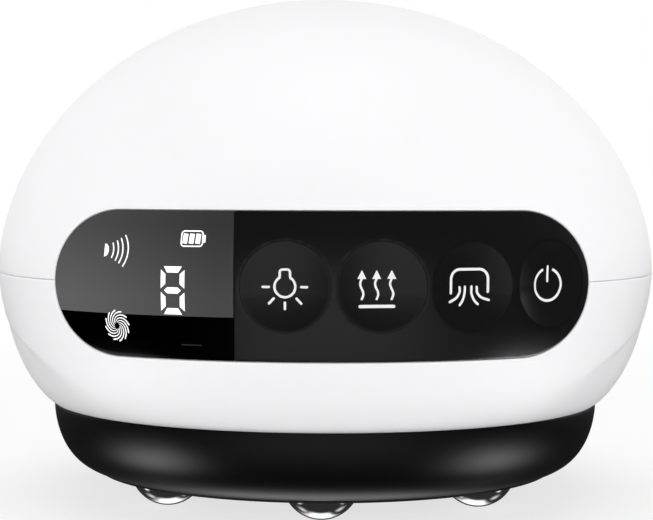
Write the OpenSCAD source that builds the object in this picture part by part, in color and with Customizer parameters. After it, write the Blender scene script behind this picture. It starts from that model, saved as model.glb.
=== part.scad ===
// Palm-held electric cupping massager: a white dome with a black control panel, on a black
// base ring whose rolling steel beads surround a suction cup. Millimetres, +Z up, front
// towards -Y. The origin is at the centre of the circle that the beads stand on.

/* [Shells] */
// Diameter of the body at the seam
shell_d = 90; // [87:0.5:93]
// Height of the lower shell, from the base ring to the seam
lower_h = 17.8; // [17.2:0.1:19]
// Height of the dome above the seam
dome_h = 37.3; // [35.5:0.1:41]
// Wall of both shells
wall = 2.2; // [1.8:0.1:2.4]
// Diameter of the lower shell where it meets the base ring
foot_d = 75.1; // [74:0.1:77]
// Thickness of the lower shell's floor
floor_t = 1.8; // [1.5:0.1:2.2]
// How far the front cheek stands out from the finger grip behind it
cheek_proud = 0.9; // [0.5:0.1:1.2]

/* [Control panel] */
// Width of the panel across its round ends
panel_w = 65.6; // [62:0.2:67]
// Height of the panel
panel_h = 17.7; // [17:0.1:18.5]
// Thickness of the lens and of the key plate
panel_t = 1.4; // [1.2:0.1:1.6]
// Gap between the panel and the shells
panel_gap = 0.15; // [0.1:0.05:0.25]
// Where the display lens meets the key plate, left of the centre line
lens_edge_x = 9.85; // [9.2:0.05:10.4]
// Diameter of a button cap
button_d = 10.6; // [10:0.1:10.7]
// Angle between two buttons, about the body's axis
button_step = 14.4; // [14.35:0.05:14.6]
// Angle of the first button, negative to the left of the centre line
button_start = -5; // [-5.2:0.1:-4.8]
// Travel of a button
button_travel = 0.5; // [0.3:0.05:0.6]
// Radial clearance of a cap in its bore
button_gap = 0.08; // [0.05:0.01:0.1]
// Depth of the finger dish in a cap
dish_depth = 0.9; // [0.6:0.1:1.1]

/* [Base and beads] */
// Diameter of a steel bead
bead_d = 10; // [9.6:0.1:10.4]
// Diameter of the circle through the bead centres
bead_ring_d = 52; // [51.4:0.1:52.4]
// How far the beads stand below the base
bead_show = 3; // [2.7:0.1:3.2]
// Clearance round a bead in its seat
bead_gap = 0.2; // [0.15:0.01:0.25]
// Height of the base ring
base_h = 9.5; // [9.4:0.1:10.5]
// Thickness of the base ring's bottom
base_t = 1.6; // [1.4:0.1:1.9]
// Diameter of the base ring's flat underside
base_flat_d = 63; // [62.8:0.1:64]

/* [Suction cup] */
// Inner diameter of the cup's mouth
cup_d = 35.6; // [34.5:0.1:36]
// Wall of the cup
cup_wall = 1.6; // [1.3:0.1:1.7]
// How far the soft lip stands below the base
lip_show = 0.8; // [0.5:0.1:1.2]
// Outer diameter of the light window seen in the cup
window_d = 21; // [20:0.2:22]
// Thickness of the window and of the heating plate
plate_t = 1.5; // [1.4:0.1:1.8]
// Number of red lamps over the window
lamp_count = 8; // [6:1:10]

/* [Air parts] */
// Diameter of the pump head
pump_d = 22; // [21.2:0.2:22.4]
// Length of the pump's motor
motor_len = 25; // [24:0.5:26]
// Length of the pump head
head_len = 17; // [16.5:0.5:18]
// Offset of the pump's eccentric
eccentric = 0.9; // [0.6:0.1:1]
// Outer diameter of the silicone hoses
hose_d = 4.6; // [4.2:0.1:4.8]
// Bore of the silicone hoses, which slip over the barbs
hose_bore = 3; // [2.6:0.1:3.2]
// Stroke of the release valve's plunger
valve_stroke = 1.2; // [0.8:0.1:1.5]

/* [Power and boards] */
// Diameter of the battery cell
cell_d = 18.2; // [18:0.1:18.5]
// Length of the battery cell
cell_len = 65; // [64:0.5:65.5]
// Thickness of the circuit boards
board_t = 1.6; // [1.2:0.1:1.6]
// Diameter of the main board
main_board_d = 63; // [62:0.5:64]

/* [Hidden] */
$fn = 96;

// Each bead and each button is a node of its own
bead_count = 7;
button_count = 4;

// Levels, from the surface that the beads stand on
shell_r = shell_d / 2;
foot_r = foot_d / 2;
base_z = bead_show;
foot_z = base_z + base_h;
floor_top = foot_z + floor_t;
seam_z = foot_z + lower_h;
panel_z = seam_z;
cup_top = floor_top + 1.7;
plate_z = cup_top - plate_t;
lamp_gap = 1.5;
lamp_board_z = cup_top + lamp_gap;
lamp_board_t = 1.2;
tube_z = lamp_board_z + lamp_board_t + 1.9;
chassis_z = tube_z + hose_d / 2 + 0.3;
chassis_t = 1.8;
chassis_top = chassis_z + chassis_t;

// Shape of the dome, the grip and the base: exponents of their rounded profiles
crown_pow = 1.88;
shoulder_pow = 2.03;
bowl_pow = 2.27;
bowl_round = 1.29;
bowl_top_r = shell_r - 0.57;
rim_curl = 14.5;
rim_z = seam_z - 0.4;
cheek_low = foot_z + 0.5;
cheek_high = foot_z + 12.5;
grip_z = foot_z + 11.7;
grip_front = 26;
grip_corner_w = 20;
grip_corner_h = 9.9;
grip_back = 9;
base_pow = 1.853;
base_round = 3.32;
base_turn_r = foot_r - 10.32;
seam_groove = 0.25;
profile_steps = 18;

// Profile functions: the radius at a height
function dome_curve(z, r, h) =
    r * pow(max(0, 1 - pow((z - seam_z) / h, crown_pow)), 1 / shoulder_pow);
function dome_r(z) = dome_curve(z, shell_r, dome_h);
function bowl_r(z) =
    foot_r + (bowl_top_r - foot_r)
    * pow(max(0, 1 - pow((seam_z - z) / lower_h, bowl_pow)), 1 / bowl_round);
function rim_r(z) =
    z > rim_z ? shell_r
    : z < rim_z - rim_curl ? 0
    : shell_r - rim_curl + sqrt(rim_curl * rim_curl - (rim_z - z) * (rim_z - z));
function side_r(z) = max(bowl_r(z), rim_r(z));
function cheek_r(z) =
    bowl_r(z) + cheek_proud * sin(180 * (z - cheek_low) / (cheek_high - cheek_low));
function skin_r(z) = z >= seam_z ? dome_r(z) : side_r(z);
function front_r(z) =
    z >= seam_z ? dome_r(z)
    : z > cheek_low && z < cheek_high ? max(side_r(z), cheek_r(z)) : side_r(z);
function base_r(z) =
    base_turn_r + (foot_r - base_turn_r)
    * pow(max(0, 1 - pow((foot_z - z) / base_h, base_pow)), 1 / base_round);
function levels(low, high, steps) = [for (i = [0:steps]) low + (high - low) * i / steps];
function arc_levels(low, height, steps) = [for (i = [0:steps]) low + height * sin(90 * i / steps)];

// Small shared pieces of geometry
module at_angle(a) { rotate([0, 0, a]) children(); }
module out_rod(r, near, far, z = panel_z) {
    translate([0, -near, z]) rotate([90, 0, 0]) rotate([0, 0, 37]) cylinder(r = r, h = far - near);
}
module out_block(w, h, near, far, z = panel_z) {
    translate([-w / 2, -far, z - h / 2]) cube([w, far - near, h]);
}
module x_rod(r, x0, x1, y, z) {
    translate([x0, y, z]) rotate([0, 90, 0]) cylinder(r = r, h = x1 - x0);
}
module ring(r_out, r_in, z0, z1) {
    rotate_extrude() translate([r_in, z0]) square([r_out - r_in, z1 - z0]);
}
module disc(r, z0, z1) { translate([0, 0, z0]) cylinder(r = r, h = z1 - z0); }
module stadium(w, h) {
    square([w - h, h], center = true);
    for (s = [-1, 1]) translate([s * (w - h) / 2, 0]) circle(d = h);
}
module front_slot(w, h) {
    translate([0, 0, panel_z]) rotate([90, 0, 0])
        translate([0, 0, 20]) linear_extrude(height = shell_r) stadium(w, h);
}
// A curved layer behind the outer surface of the front, over the height of the panel
module skin_layer(outset, inset, margin) {
    zs = levels(panel_z - panel_h / 2 - margin, panel_z + panel_h / 2 + margin, 12);
    outer = [for (z = zs) [outset < 0.5 ? front_r(z) - outset : skin_r(z) - outset, z]];
    inner = [for (i = [len(zs) - 1:-1:0]) [skin_r(zs[i]) - inset, zs[i]]];
    rotate_extrude() polygon(concat(outer, inner));
}
module half_space_x(x, side) {
    translate([side > 0 ? x : x - shell_d, -shell_d, 0]) cube([shell_d, 2 * shell_d, 2 * seam_z]);
}

// Screw positions: [radius, angle from the front]
case_post_r = 33;
case_angles = [-62, 62, -155, 155];
frame_post_r = 32;
frame_angles = [-35, 35, -115, 115];
base_screw_r = 27.5;
bead_step = 360 / bead_count;
base_angles = [bead_step / 2, bead_step * 2.5, -bead_step * 1.5];
post_r = 3.2;
screw_r = 1.2;
screw_gap = 0.2;
screw_head_r = 2.3;
screw_head_t = 1.5;
long_screw = 12;
flush_screw = 8;
flush_cone_t = 1.1;
case_head_z = foot_z + 11.8;
base_head_z = base_z + 1.9;

module at_posts(radius, angles) {
    for (a = angles) at_angle(a) translate([0, -radius, 0]) children();
}

// Upper shell: a glossy dome with screw bosses and a tongue that enters the lower shell
tongue_t = 0.9;
tongue_h = 2;
fit_gap = 0.1;
module dome_solid(r, h, base) {
    zs = arc_levels(seam_z, h, profile_steps);
    rotate_extrude() polygon(concat([[0, base]], [[r, base]],
        [for (z = zs) [dome_curve(z, r, h), z]]));
}
module dome_skin() {
    zs = arc_levels(seam_z, dome_h, profile_steps);
    rotate_extrude() polygon(concat(
        [[0, seam_z], [shell_r - seam_groove, seam_z], [dome_r(seam_z + 0.3), seam_z + 0.3]],
        [for (i = [2:profile_steps]) [dome_r(zs[i]), zs[i]]]));
}
module upper_shell() {
    color("white") {
        difference() {
            dome_skin();
            dome_solid(shell_r - wall, dome_h - wall, seam_z - 1);
            front_slot(panel_w, panel_h);
        }
        difference() {
            ring(shell_r - wall, shell_r - wall - tongue_t, seam_z - tongue_h, seam_z + 1.5);
            front_slot(panel_w + 6, panel_h + 6);
        }
        difference() {
            intersection() {
                at_posts(case_post_r, case_angles) disc(2.8, seam_z, seam_z + dome_h);
                dome_solid(shell_r - wall / 2, dome_h - wall / 2, seam_z);
            }
            at_posts(case_post_r, case_angles) disc(screw_r, seam_z - 1, case_head_z + long_screw + 0.5);
        }
    }
}

// Lower shell: a bowl with a finger grip at its sides and back and a full cheek in front
socket_w = 8.94;
socket_h = 3.26;
charge_z = floor_top + 2;
charge_board_t = 1.2;
socket_z = charge_z + charge_board_t + socket_h / 2;
socket_face_y = shell_r - 3.8;
charge_board_len = 10;
charge_board_y = socket_face_y - 14;
charge_post_x = 7;
charge_post_y = charge_board_y + 3.8;
module side_solid(top) {
    zs = levels(foot_z, top, profile_steps);
    rotate_extrude() polygon(concat([[0, foot_z]], [for (z = zs) [side_r(z), z]],
        [[0, top]]));
}
module cheek_solid() {
    zs = levels(cheek_low, cheek_high, 14);
    intersection() {
        rotate_extrude() polygon(concat([[foot_r - 4, cheek_low]],
            [for (i = [0:14]) [cheek_r(zs[i]) - (i == 0 || i == 14 ? 0.3 : 0), zs[i]]],
            [[foot_r - 4, cheek_high]]));
        rotate([90, 0, 90]) linear_extrude(height = 2 * shell_d, center = true)
            difference() {
                translate([-shell_d, 0]) square([shell_d - grip_back, seam_z]);
                translate([-grip_front, -1]) square([shell_d, grip_z + 1 - grip_corner_h]);
                translate([-grip_front + grip_corner_w, grip_z - grip_corner_h])
                    scale([grip_corner_w, grip_corner_h]) circle(r = 1);
            }
    }
}
module bowl_cavity() {
    zs = levels(floor_top, seam_z - 0.5, profile_steps);
    rotate_extrude() polygon(concat([[0, floor_top]], [for (z = zs) [side_r(z) - wall, z]],
        [[shell_r - wall, seam_z + 1], [0, seam_z + 1]]));
}
module charging_slot(grow) {
    translate([0, shell_r - 12, socket_z]) rotate([-90, 0, 0])
        linear_extrude(height = 14) stadium(socket_w + grow, socket_h + grow);
}
module lower_posts() {
    at_posts(case_post_r, case_angles) disc(post_r, foot_z, seam_z);
    at_posts(frame_post_r, frame_angles) disc(2.6, foot_z, chassis_z);
    at_posts(base_screw_r, base_angles) disc(2.6, foot_z, floor_top + 3.7);
    for (s = [-1, 1]) translate([s * charge_post_x, charge_post_y, 0]) disc(1.4, foot_z, charge_z);
}
module lower_shell() {
    color("white") difference() {
        union() {
            difference() {
                union() {
                    side_solid(seam_z - 0.3);
                    ring(shell_r - seam_groove, foot_r - 2, seam_z - 1, seam_z);
                    cheek_solid();
                }
                bowl_cavity();
            }
            intersection() {
                lower_posts();
                side_solid(seam_z);
            }
        }
        ring(shell_r - wall + fit_gap, shell_r - wall - tongue_t - fit_gap, seam_z - tongue_h - 0.3,
            seam_z + 1);
        front_slot(panel_w, panel_h);
        charging_slot(0.4);
        disc(cup_d / 2 + cup_wall + 0.2, foot_z - 1, floor_top + 1);
        at_posts(case_post_r, case_angles) {
            disc(screw_r + screw_gap, foot_z - 1, seam_z + 1);
            disc(screw_head_r + screw_gap, foot_z - 1, case_head_z);
        }
        at_posts(frame_post_r, frame_angles) disc(screw_r, chassis_top - flush_screw - 0.3, chassis_z + 1);
        at_posts(base_screw_r, base_angles) disc(screw_r, foot_z - 1, base_head_z + long_screw + 0.3);
    }
}

// Display lens: the smoked, glossy left part of the panel
module display_lens() {
    color([0.09, 0.09, 0.1]) intersection() {
        skin_layer(0.05, panel_t, 0.5);
        front_slot(panel_w - 2 * panel_gap, panel_h - 2 * panel_gap);
        half_space_x(-lens_edge_x - 0.05, -1);
    }
}

// Key plate: the satin right part of the panel, bored for the four caps
function button_angle(i) = button_start + button_step * i;
module key_plate() {
    color([0.07, 0.07, 0.08]) difference() {
        intersection() {
            skin_layer(0.05, panel_t, 0.5);
            front_slot(panel_w - 2 * panel_gap, panel_h - 2 * panel_gap);
            half_space_x(-lens_edge_x + 0.05, 1);
        }
        for (i = [0:button_count - 1]) at_angle(button_angle(i))
            out_rod(button_d / 2 + button_gap, shell_r - 6, shell_r + 1);
    }
}

// The inner face of the carrier at a height above or below the panel's middle, less a gap
function behind_carrier(dz) =
    min(skin_r(panel_z + dz), skin_r(panel_z - dz)) - wall - carrier_t - 0.15;

// Panel carrier: a curved frame that holds lens, key plate and boards behind the shells
carrier_t = 1.7;
carrier_lip = 2.4;
carrier_window_h = 14;
carrier_window_end = 1.7;
module panel_carrier() {
    color([0.2, 0.2, 0.21]) difference() {
        union() {
            intersection() {
                skin_layer(panel_t + 0.05, wall + carrier_t, 0.5);
                front_slot(panel_w - 0.6, panel_h - 0.6);
            }
            intersection() {
                skin_layer(wall + 0.3, wall + carrier_t, carrier_lip + 0.5);
                front_slot(panel_w + 2 * carrier_lip, panel_h + 2 * carrier_lip);
            }
        }
        translate([0, 0, panel_z]) rotate([90, 0, 0]) translate([0, 0, 20]) {
            linear_extrude(height = shell_r) translate([-panel_w / 2 + 5, -carrier_window_h / 2])
                square([panel_w / 2 - lens_edge_x - 7, carrier_window_h]);
            linear_extrude(height = shell_r) translate([-lens_edge_x + 0.6, -carrier_window_h / 2])
                square([panel_w / 2 + lens_edge_x - 0.6 - carrier_window_end, carrier_window_h]);
        }
    }
}

// Button caps: dished discs with an ear above and below that holds them behind the plate, and
// a plunger that presses the switch
cap_neck_r = 4.5;
cap_skirt = 1.3;
ear_w = 5;
ear_h = 12.8;
ear_t = 0.8;
ear_out = skin_r(panel_z - ear_h / 2) - panel_t - 0.25;
switch_face = shell_r - 6;
plunger_r = 1.2;
plunger_in = 0.55;
dish_r = 30;
cap_crown_r = 36;
module button_cap(i) {
    color([0.1, 0.1, 0.11]) at_angle(button_angle(i)) difference() {
        union() {
            intersection() {
                out_rod(button_d / 2, shell_r - cap_skirt - 0.15, shell_r + 1);
                translate([0, -(shell_r - 0.05 - cap_crown_r), panel_z])
                    sphere(r = cap_crown_r, $fn = 180);
            }
            out_rod(cap_neck_r, ear_out - ear_t, shell_r - cap_skirt + 0.2);
            out_block(ear_w, ear_h, ear_out - ear_t, ear_out);
            out_rod(plunger_r + 0.6, switch_face + button_travel + 0.1, ear_out);
            out_rod(plunger_r, switch_face - plunger_in, ear_out);
        }
        translate([0, -(shell_r - dish_depth + dish_r), panel_z]) sphere(r = dish_r, $fn = 180);
    }
}
module light_button() { button_cap(0); }
module heat_button() { button_cap(1); }
module suction_button() { button_cap(2); }
module power_button() { button_cap(3); }

// Key switches: a housing under each cap, whose guide bore takes the cap's plunger
switch_w = 5;
switch_t = 2.2;
module key_switches() {
    color("dimgray") for (i = [0:button_count - 1]) at_angle(button_angle(i)) difference() {
        out_block(switch_w, switch_w, switch_face - switch_t, switch_face);
        out_rod(plunger_r + 0.08, switch_face - plunger_in - button_travel - 0.1, switch_face + 1);
    }
}

// Flexible circuit that carries the switches, bent round its rigid backplate
flex_t = 0.4;
flex_r = switch_face - switch_t;
backplate_t = 1.6;
module curved_strip(r_out, r_in, h, a0, a1) {
    translate([0, 0, panel_z - h / 2]) rotate([0, 0, a0 - 90])
        rotate_extrude(angle = a1 - a0) translate([r_in, 0]) square([r_out - r_in, h]);
}
key_span_low = button_start - 7;
key_span_high = button_start + 3 * button_step + 7;
module key_flex_circuit() {
    color("orange") curved_strip(flex_r, flex_r - flex_t, 10, key_span_low, key_span_high);
}
module key_backplate() {
    back_r = flex_r - flex_t;
    color([0.25, 0.25, 0.27]) {
        curved_strip(back_r, back_r - backplate_t, panel_h - 2, key_span_low, key_span_high);
        for (a = [key_span_low, key_span_high - 2.4], s = [-1, 1])
            translate([0, 0, s * (panel_h / 2 - 2.2)])
                curved_strip(behind_carrier(panel_h / 2 - 1.2), back_r - 0.2, 2, a, a + 2.4);
    }
}

// Display: a digit module and an icon light guide on a flat board behind the lens
display_angle = -asin((panel_w / 2 + lens_edge_x) / 2 / shell_r);
display_face = shell_r - 4.4;
display_t = 3;
digit_w = 6;
digit_h = 9;
digit_x = 2.2;
guide_w = 15;
guide_h = 13.2;
module digit_display() {
    color("gainsboro") at_angle(display_angle) translate([digit_x, 0, 0])
        out_block(digit_w, digit_h, display_face - display_t, display_face - 0.1, panel_z - 0.5);
}
module icon_light_guide() {
    color([0.15, 0.15, 0.16]) at_angle(display_angle) difference() {
        out_block(guide_w, guide_h, display_face - display_t, display_face);
        translate([digit_x, 0, 0])
            out_block(digit_w + 0.3, digit_h + 0.3, display_face - display_t - 1, display_face + 1,
                panel_z - 0.5);
        for (s = [-1, 1]) translate([-5.3, 0, 0])
            out_rod(1.7, display_face - display_t - 1, display_face + 1, panel_z + 4.2 * s);
        translate([5.1, 0, 0])
            out_block(3, 1.7, display_face - display_t - 1, display_face + 1, panel_z + 5.4);
    }
}
module display_board() {
    back = display_face - display_t;
    color("darkgreen") at_angle(display_angle) {
        out_block(19, 15, back - board_t, back);
        for (s = [-1, 1]) translate([0, 0, s * 7.6])
            out_block(3, 1.8, back - board_t, behind_carrier(8.5));
    }
}

// Ribbon from the display board up to the main board
pump_r = pump_d / 2;
pump_y = -5;
pump_z = chassis_top + 0.8 + pump_r;
board_z = pump_z + pump_r + 1.7;
module panel_ribbon() {
    start_y = -(display_face - display_t - board_t);
    end_y = start_y + 10;
    start_z = panel_z + 4;
    color("khaki") at_angle(display_angle) rotate([90, 0, 90])
        linear_extrude(height = 8, center = true)
            polygon([[start_y, start_z], [start_y + 0.3, start_z], [start_y + 0.3, start_z + 6],
                [end_y, board_z - 0.6], [end_y + 4, board_z - 0.6], [end_y + 4, board_z - 0.3],
                [end_y, board_z - 0.3], [start_y, start_z + 6.2]]);
}

// Base ring: a matt black ring with a captive opening for each bead
bead_r = bead_d / 2;
bead_ring_r = bead_ring_d / 2;
cup_out_r = cup_d / 2 + cup_wall;
base_bore_r = cup_out_r + 0.2;
base_inner_t = 1;
base_wall = 1.8;
module at_bead(i) {
    at_angle(bead_step * i) translate([0, -bead_ring_r, bead_r]) children();
}
module base_outline(shrink, low) {
    zs = [for (z = arc_levels(0, 1, profile_steps)) foot_z - (foot_z - low) * z];
    rotate_extrude() polygon(concat([[0, foot_z]], [for (z = zs) [base_r(z) - shrink, z]],
        shrink == 0 ? [[base_flat_d / 2, base_z]] : [], [[0, shrink == 0 ? base_z : low]]));
}
module base_ring() {
    color([0.06, 0.06, 0.065]) difference() {
        union() {
            difference() {
                base_outline(0, base_z + 0.35);
                difference() {
                    union() {
                        base_outline(base_wall, base_z + base_t);
                        disc(foot_r - base_wall, foot_z - 1, foot_z + 1);
                    }
                    disc(base_bore_r + base_inner_t, base_z, foot_z + 2);
                }
            }
            at_posts(base_screw_r, base_angles) disc(3, base_z, foot_z);
        }
        disc(base_bore_r, base_z - 1, foot_z + 1);
        for (i = [0:bead_count - 1]) at_bead(i) sphere(r = bead_r + bead_gap);
        at_posts(base_screw_r, base_angles) {
            disc(screw_r + screw_gap, base_z - 1, foot_z + 1);
            disc(screw_head_r + screw_gap, base_z - 1, base_head_z);
        }
    }
}

// Bead seat ring: a slippery plastic ring with a ball socket over each bead
seat_top = foot_z - 0.7;
seat_in_r = base_bore_r + base_inner_t + 0.15;
seat_out_r = base_r(base_z + base_t + 0.1) - base_wall - 0.9;
module bead_seat_ring() {
    color("ivory") difference() {
        ring(seat_out_r, seat_in_r, base_z + base_t + 0.05, seat_top);
        for (i = [0:bead_count - 1]) at_bead(i) sphere(r = bead_r + bead_gap);
        at_posts(base_screw_r, base_angles) disc(3.15, base_z, foot_z);
    }
}
module base_gasket() {
    color("dimgray") difference() {
        ring(seat_out_r - 0.3, seat_in_r + 2.6, seat_top, foot_z);
        at_posts(base_screw_r, base_angles) disc(3.15, base_z, foot_z + 1);
        at_posts(case_post_r, case_angles) disc(screw_head_r + 0.6, base_z, foot_z + 1);
    }
}

// Beads: polished steel balls, free to roll in their sockets
module bead(i) { color("lightsteelblue") at_bead(i) sphere(r = bead_r); }
module bead_1() { bead(0); }
module bead_2() { bead(1); }
module bead_3() { bead(2); }
module bead_4() { bead(3); }
module bead_5() { bead(4); }
module bead_6() { bead(5); }
module bead_7() { bead(6); }

// Suction cup: an inverted cup that hangs from its flange on the lower shell's floor
cup_r = cup_d / 2;
cup_low = base_z + 0.4;
flange_r = cup_out_r + 4.6;
flange_t = 1.5;
ledge_w = 2.3;
module suction_cup() {
    color([0.12, 0.12, 0.13]) {
        ring(cup_out_r, cup_r, cup_low, cup_top);
        ring(flange_r, cup_out_r - 0.5, floor_top, floor_top + flange_t);
        ring(cup_r + 0.5, cup_r - ledge_w, plate_z - 1.4, plate_z);
    }
}
lip_t = 0.7;
module cup_lip_seal() {
    color([0.3, 0.3, 0.31]) difference() {
        union() {
            ring(cup_out_r - 0.1, cup_r - lip_t, base_z - lip_show, cup_low);
            ring(cup_r, cup_r - lip_t, base_z - lip_show, cup_low + 4);
        }
        translate([0, 0, base_z - lip_show - 0.01])
            cylinder(r1 = cup_r - lip_t + 0.7, r2 = cup_r - lip_t - 0.1, h = 0.8);
    }
}

// Heating plate with its film heater, round a window that lets the red light through
window_r = window_d / 2;
rebate_w = 1.1;
rebate_t = 0.7;
module heating_plate() {
    color("silver") difference() {
        ring(cup_r - 0.1, window_r + 0.1, plate_z, cup_top);
        disc(window_r + rebate_w + 0.1, cup_top - rebate_t - 0.05, cup_top + 1);
    }
}
skirt_in_r = cup_r - 1.8;
skirt_out_r = cup_r - 0.4;
module heater_film() {
    color("darkorange") {
        ring(skirt_in_r - 0.4, window_r + rebate_w + 0.5, cup_top, cup_top + 0.3);
        at_angle(60) translate([0, -(window_r + rebate_w + 2.2), 0]) disc(1.2, cup_top + 0.2, cup_top + 1.4);
    }
}
nozzle_r = 4;
lamp_ring_r = 8;
lamp_board_r = window_r + 1.2;
peg_ring_r = window_r - 0.3;
peg_angles = [150, 270, 30];
module at_pegs() {
    for (a = peg_angles) rotate([0, 0, a + 60]) translate([peg_ring_r, 0, 0]) children();
}
module light_window() {
    color([0.8, 0.2, 0.2, 0.6]) {
        ring(window_r, nozzle_r + 0.1, plate_z, cup_top);
        ring(window_r + rebate_w, nozzle_r + 0.1, cup_top - rebate_t, cup_top);
        at_pegs() disc(0.9, cup_top - 0.1, lamp_board_z);
    }
}
module lamp_board() {
    color("white") ring(lamp_board_r, nozzle_r + 2.2, lamp_board_z, lamp_board_z + lamp_board_t);
}
module red_lamps() {
    color("red") for (i = [0:lamp_count - 1])
        rotate([0, 0, 360 * (i + 0.5) / lamp_count]) translate([lamp_ring_r - 1, -1, lamp_board_z - 0.8])
            cube([2, 2, 0.8]);
}

// Air inlet: a screwed grille over a sponge filter, in the nozzle of the manifold
grille_r = 5.6;
grille_t = 1;
sponge_r = 3.2;
nozzle_low = plate_z - 1.1;
module filter_grille() {
    low = nozzle_low - grille_t;
    color([0.15, 0.15, 0.16]) difference() {
        disc(grille_r, low, plate_z - 0.05);
        disc(nozzle_r + 0.05, nozzle_low, plate_z + 1);
        disc(0.7, low - 1, plate_z);
        for (a = [0:60:300]) rotate([0, 0, a]) translate([2.3, 0, 0]) disc(0.7, low - 1, plate_z);
    }
}
module suction_filter() {
    color("gray") disc(sponge_r, nozzle_low + 0.05, nozzle_low + 2);
}
barb_r = hose_bore / 2;
tube_y = -1.2;
barb_x = 12;
barb_end = barb_x + 5;
manifold_top = tube_z + 1.9;
module air_manifold() {
    color("lightgray") difference() {
        union() {
            disc(nozzle_r, nozzle_low, manifold_top);
            disc(5.6, cup_top, cup_top + 1);
            x_rod(barb_r, -barb_end, barb_end, tube_y, tube_z);
            x_rod(barb_r + 0.4, -barb_x, barb_x, tube_y, tube_z);
        }
        disc(sponge_r + 0.1, nozzle_low - 1, nozzle_low + 2.2);
        disc(1.3, nozzle_low, manifold_top + 1);
        x_rod(barb_r - 0.7, -barb_end - 1, barb_end + 1, tube_y, tube_z);
    }
}
module pressure_sensor() {
    color("black") {
        disc(1.25, manifold_top - 1.3, manifold_top + 0.2);
        translate([-3, -3, manifold_top + 0.1]) cube([6, 6, 2.2]);
    }
}

// Hoses: bent silicone tubes pushed over the barbs
bend_r = 4;
valve_x = -29.5;
valve_z = chassis_top + 3;
pump_x0 = -21;
head_x = pump_x0 + motor_len;
head_end = head_x + head_len;
inlet_z = pump_z - 5;
pump_hose_x = 30.5;
module bend(r_in) {
    rotate_extrude(angle = 90) translate([bend_r, 0]) circle(r = r_in);
}
module pump_hose_run(r, over) {
    x_rod(r, barb_x - over, pump_hose_x - bend_r, tube_y, tube_z);
    translate([pump_hose_x - bend_r, tube_y, tube_z + bend_r]) rotate([90, 0, 0]) rotate([0, 0, -90]) bend(r);
    translate([pump_hose_x, tube_y, 0]) disc(r, tube_z + bend_r, inlet_z - bend_r);
    translate([pump_hose_x - bend_r, tube_y, inlet_z - bend_r]) rotate([90, 0, 0]) bend(r);
    x_rod(r, head_end + 0.6 - over, pump_hose_x - bend_r, tube_y, inlet_z);
}
module pump_hose() {
    color("whitesmoke") difference() {
        pump_hose_run(hose_d / 2, 0);
        pump_hose_run(barb_r, 1);
    }
}
module valve_hose_run(r, over) {
    x_rod(r, valve_x + bend_r, -barb_x + over, tube_y, tube_z);
    translate([valve_x + bend_r, tube_y, tube_z + bend_r]) rotate([90, 0, 0]) rotate([0, 0, 180]) bend(r);
    translate([valve_x, tube_y, 0]) disc(r, tube_z + bend_r, valve_z - 0.1 + over);
}
module valve_hose() {
    color("whitesmoke") difference() {
        valve_hose_run(hose_d / 2, 0);
        valve_hose_run(barb_r, 1);
    }
}

// Chassis: the inner frame that clamps the cup and carries pump, battery, valve and boards
chassis_r = 34;
hose_way = hose_d + 0.8;
battery_y = pump_y + pump_r + 0.4 + cell_d / 2;
battery_z = chassis_top + 1.3 + cell_d / 2;
board_posts = [[-23.5, -13.6], [23.5, -13.6], [-8, 28.3], [8, 28.3]];
motor_r = pump_r - 0.5;
module pump_saddle(x0, x1, r) {
    difference() {
        translate([x0, pump_y - 7, chassis_top - 0.5]) cube([x1 - x0, 14, 4.5]);
        x_rod(r, x0 - 1, x1 + 1, pump_y, pump_z);
    }
}
module chassis() {
    color([0.85, 0.85, 0.83]) difference() {
        union() {
            disc(chassis_r, chassis_z, chassis_top);
            ring(flange_r - 0.4, flange_r - 2.2, floor_top + flange_t, chassis_z + 0.5);
            ring(skirt_out_r, skirt_in_r, cup_top, chassis_z + 0.5);
            at_pegs() disc(1, lamp_board_z + lamp_board_t, chassis_z + 0.5);
            pump_saddle(pump_x0 + 3, pump_x0 + 7, motor_r);
            pump_saddle(head_x + 3, head_x + 7, pump_r);
            for (p = board_posts) translate([p[0], p[1], 0]) disc(1.9, chassis_top - 0.5, board_z);
            for (s = [-1, 1]) translate([valve_x, tube_y + s * 4.2, 0]) disc(1.3, chassis_top - 0.5, valve_z);
        }
        disc(4.6, chassis_z - 1, chassis_top + 1);
        translate([-chassis_r, tube_y - hose_d / 2 - 0.3, floor_top])
            cube([2 * chassis_r, hose_d + 0.6, chassis_z - floor_top]);
        for (x = [valve_x, pump_hose_x]) {
            translate([x, tube_y, 0]) disc(hose_way / 2, chassis_z - 1, chassis_top + 1);
            translate([x > 0 ? x - bend_r : x, tube_y - hose_way / 2, chassis_z - 1])
                cube([bend_r, hose_way, chassis_t + 2]);
        }
        at_posts(case_post_r, case_angles) disc(post_r + 0.3, chassis_z - 1, chassis_top + 1);
        at_posts(frame_post_r, frame_angles) flush_hole(chassis_top);
        translate([strap_x + 3, strap_screw_y, 0]) disc(screw_r, chassis_z - 1, chassis_top + 1);
        for (p = board_posts) translate([p[0], p[1], 0])
            disc(screw_r, board_z + board_t - long_screw - 0.3, board_z + 1);
    }
}

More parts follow.
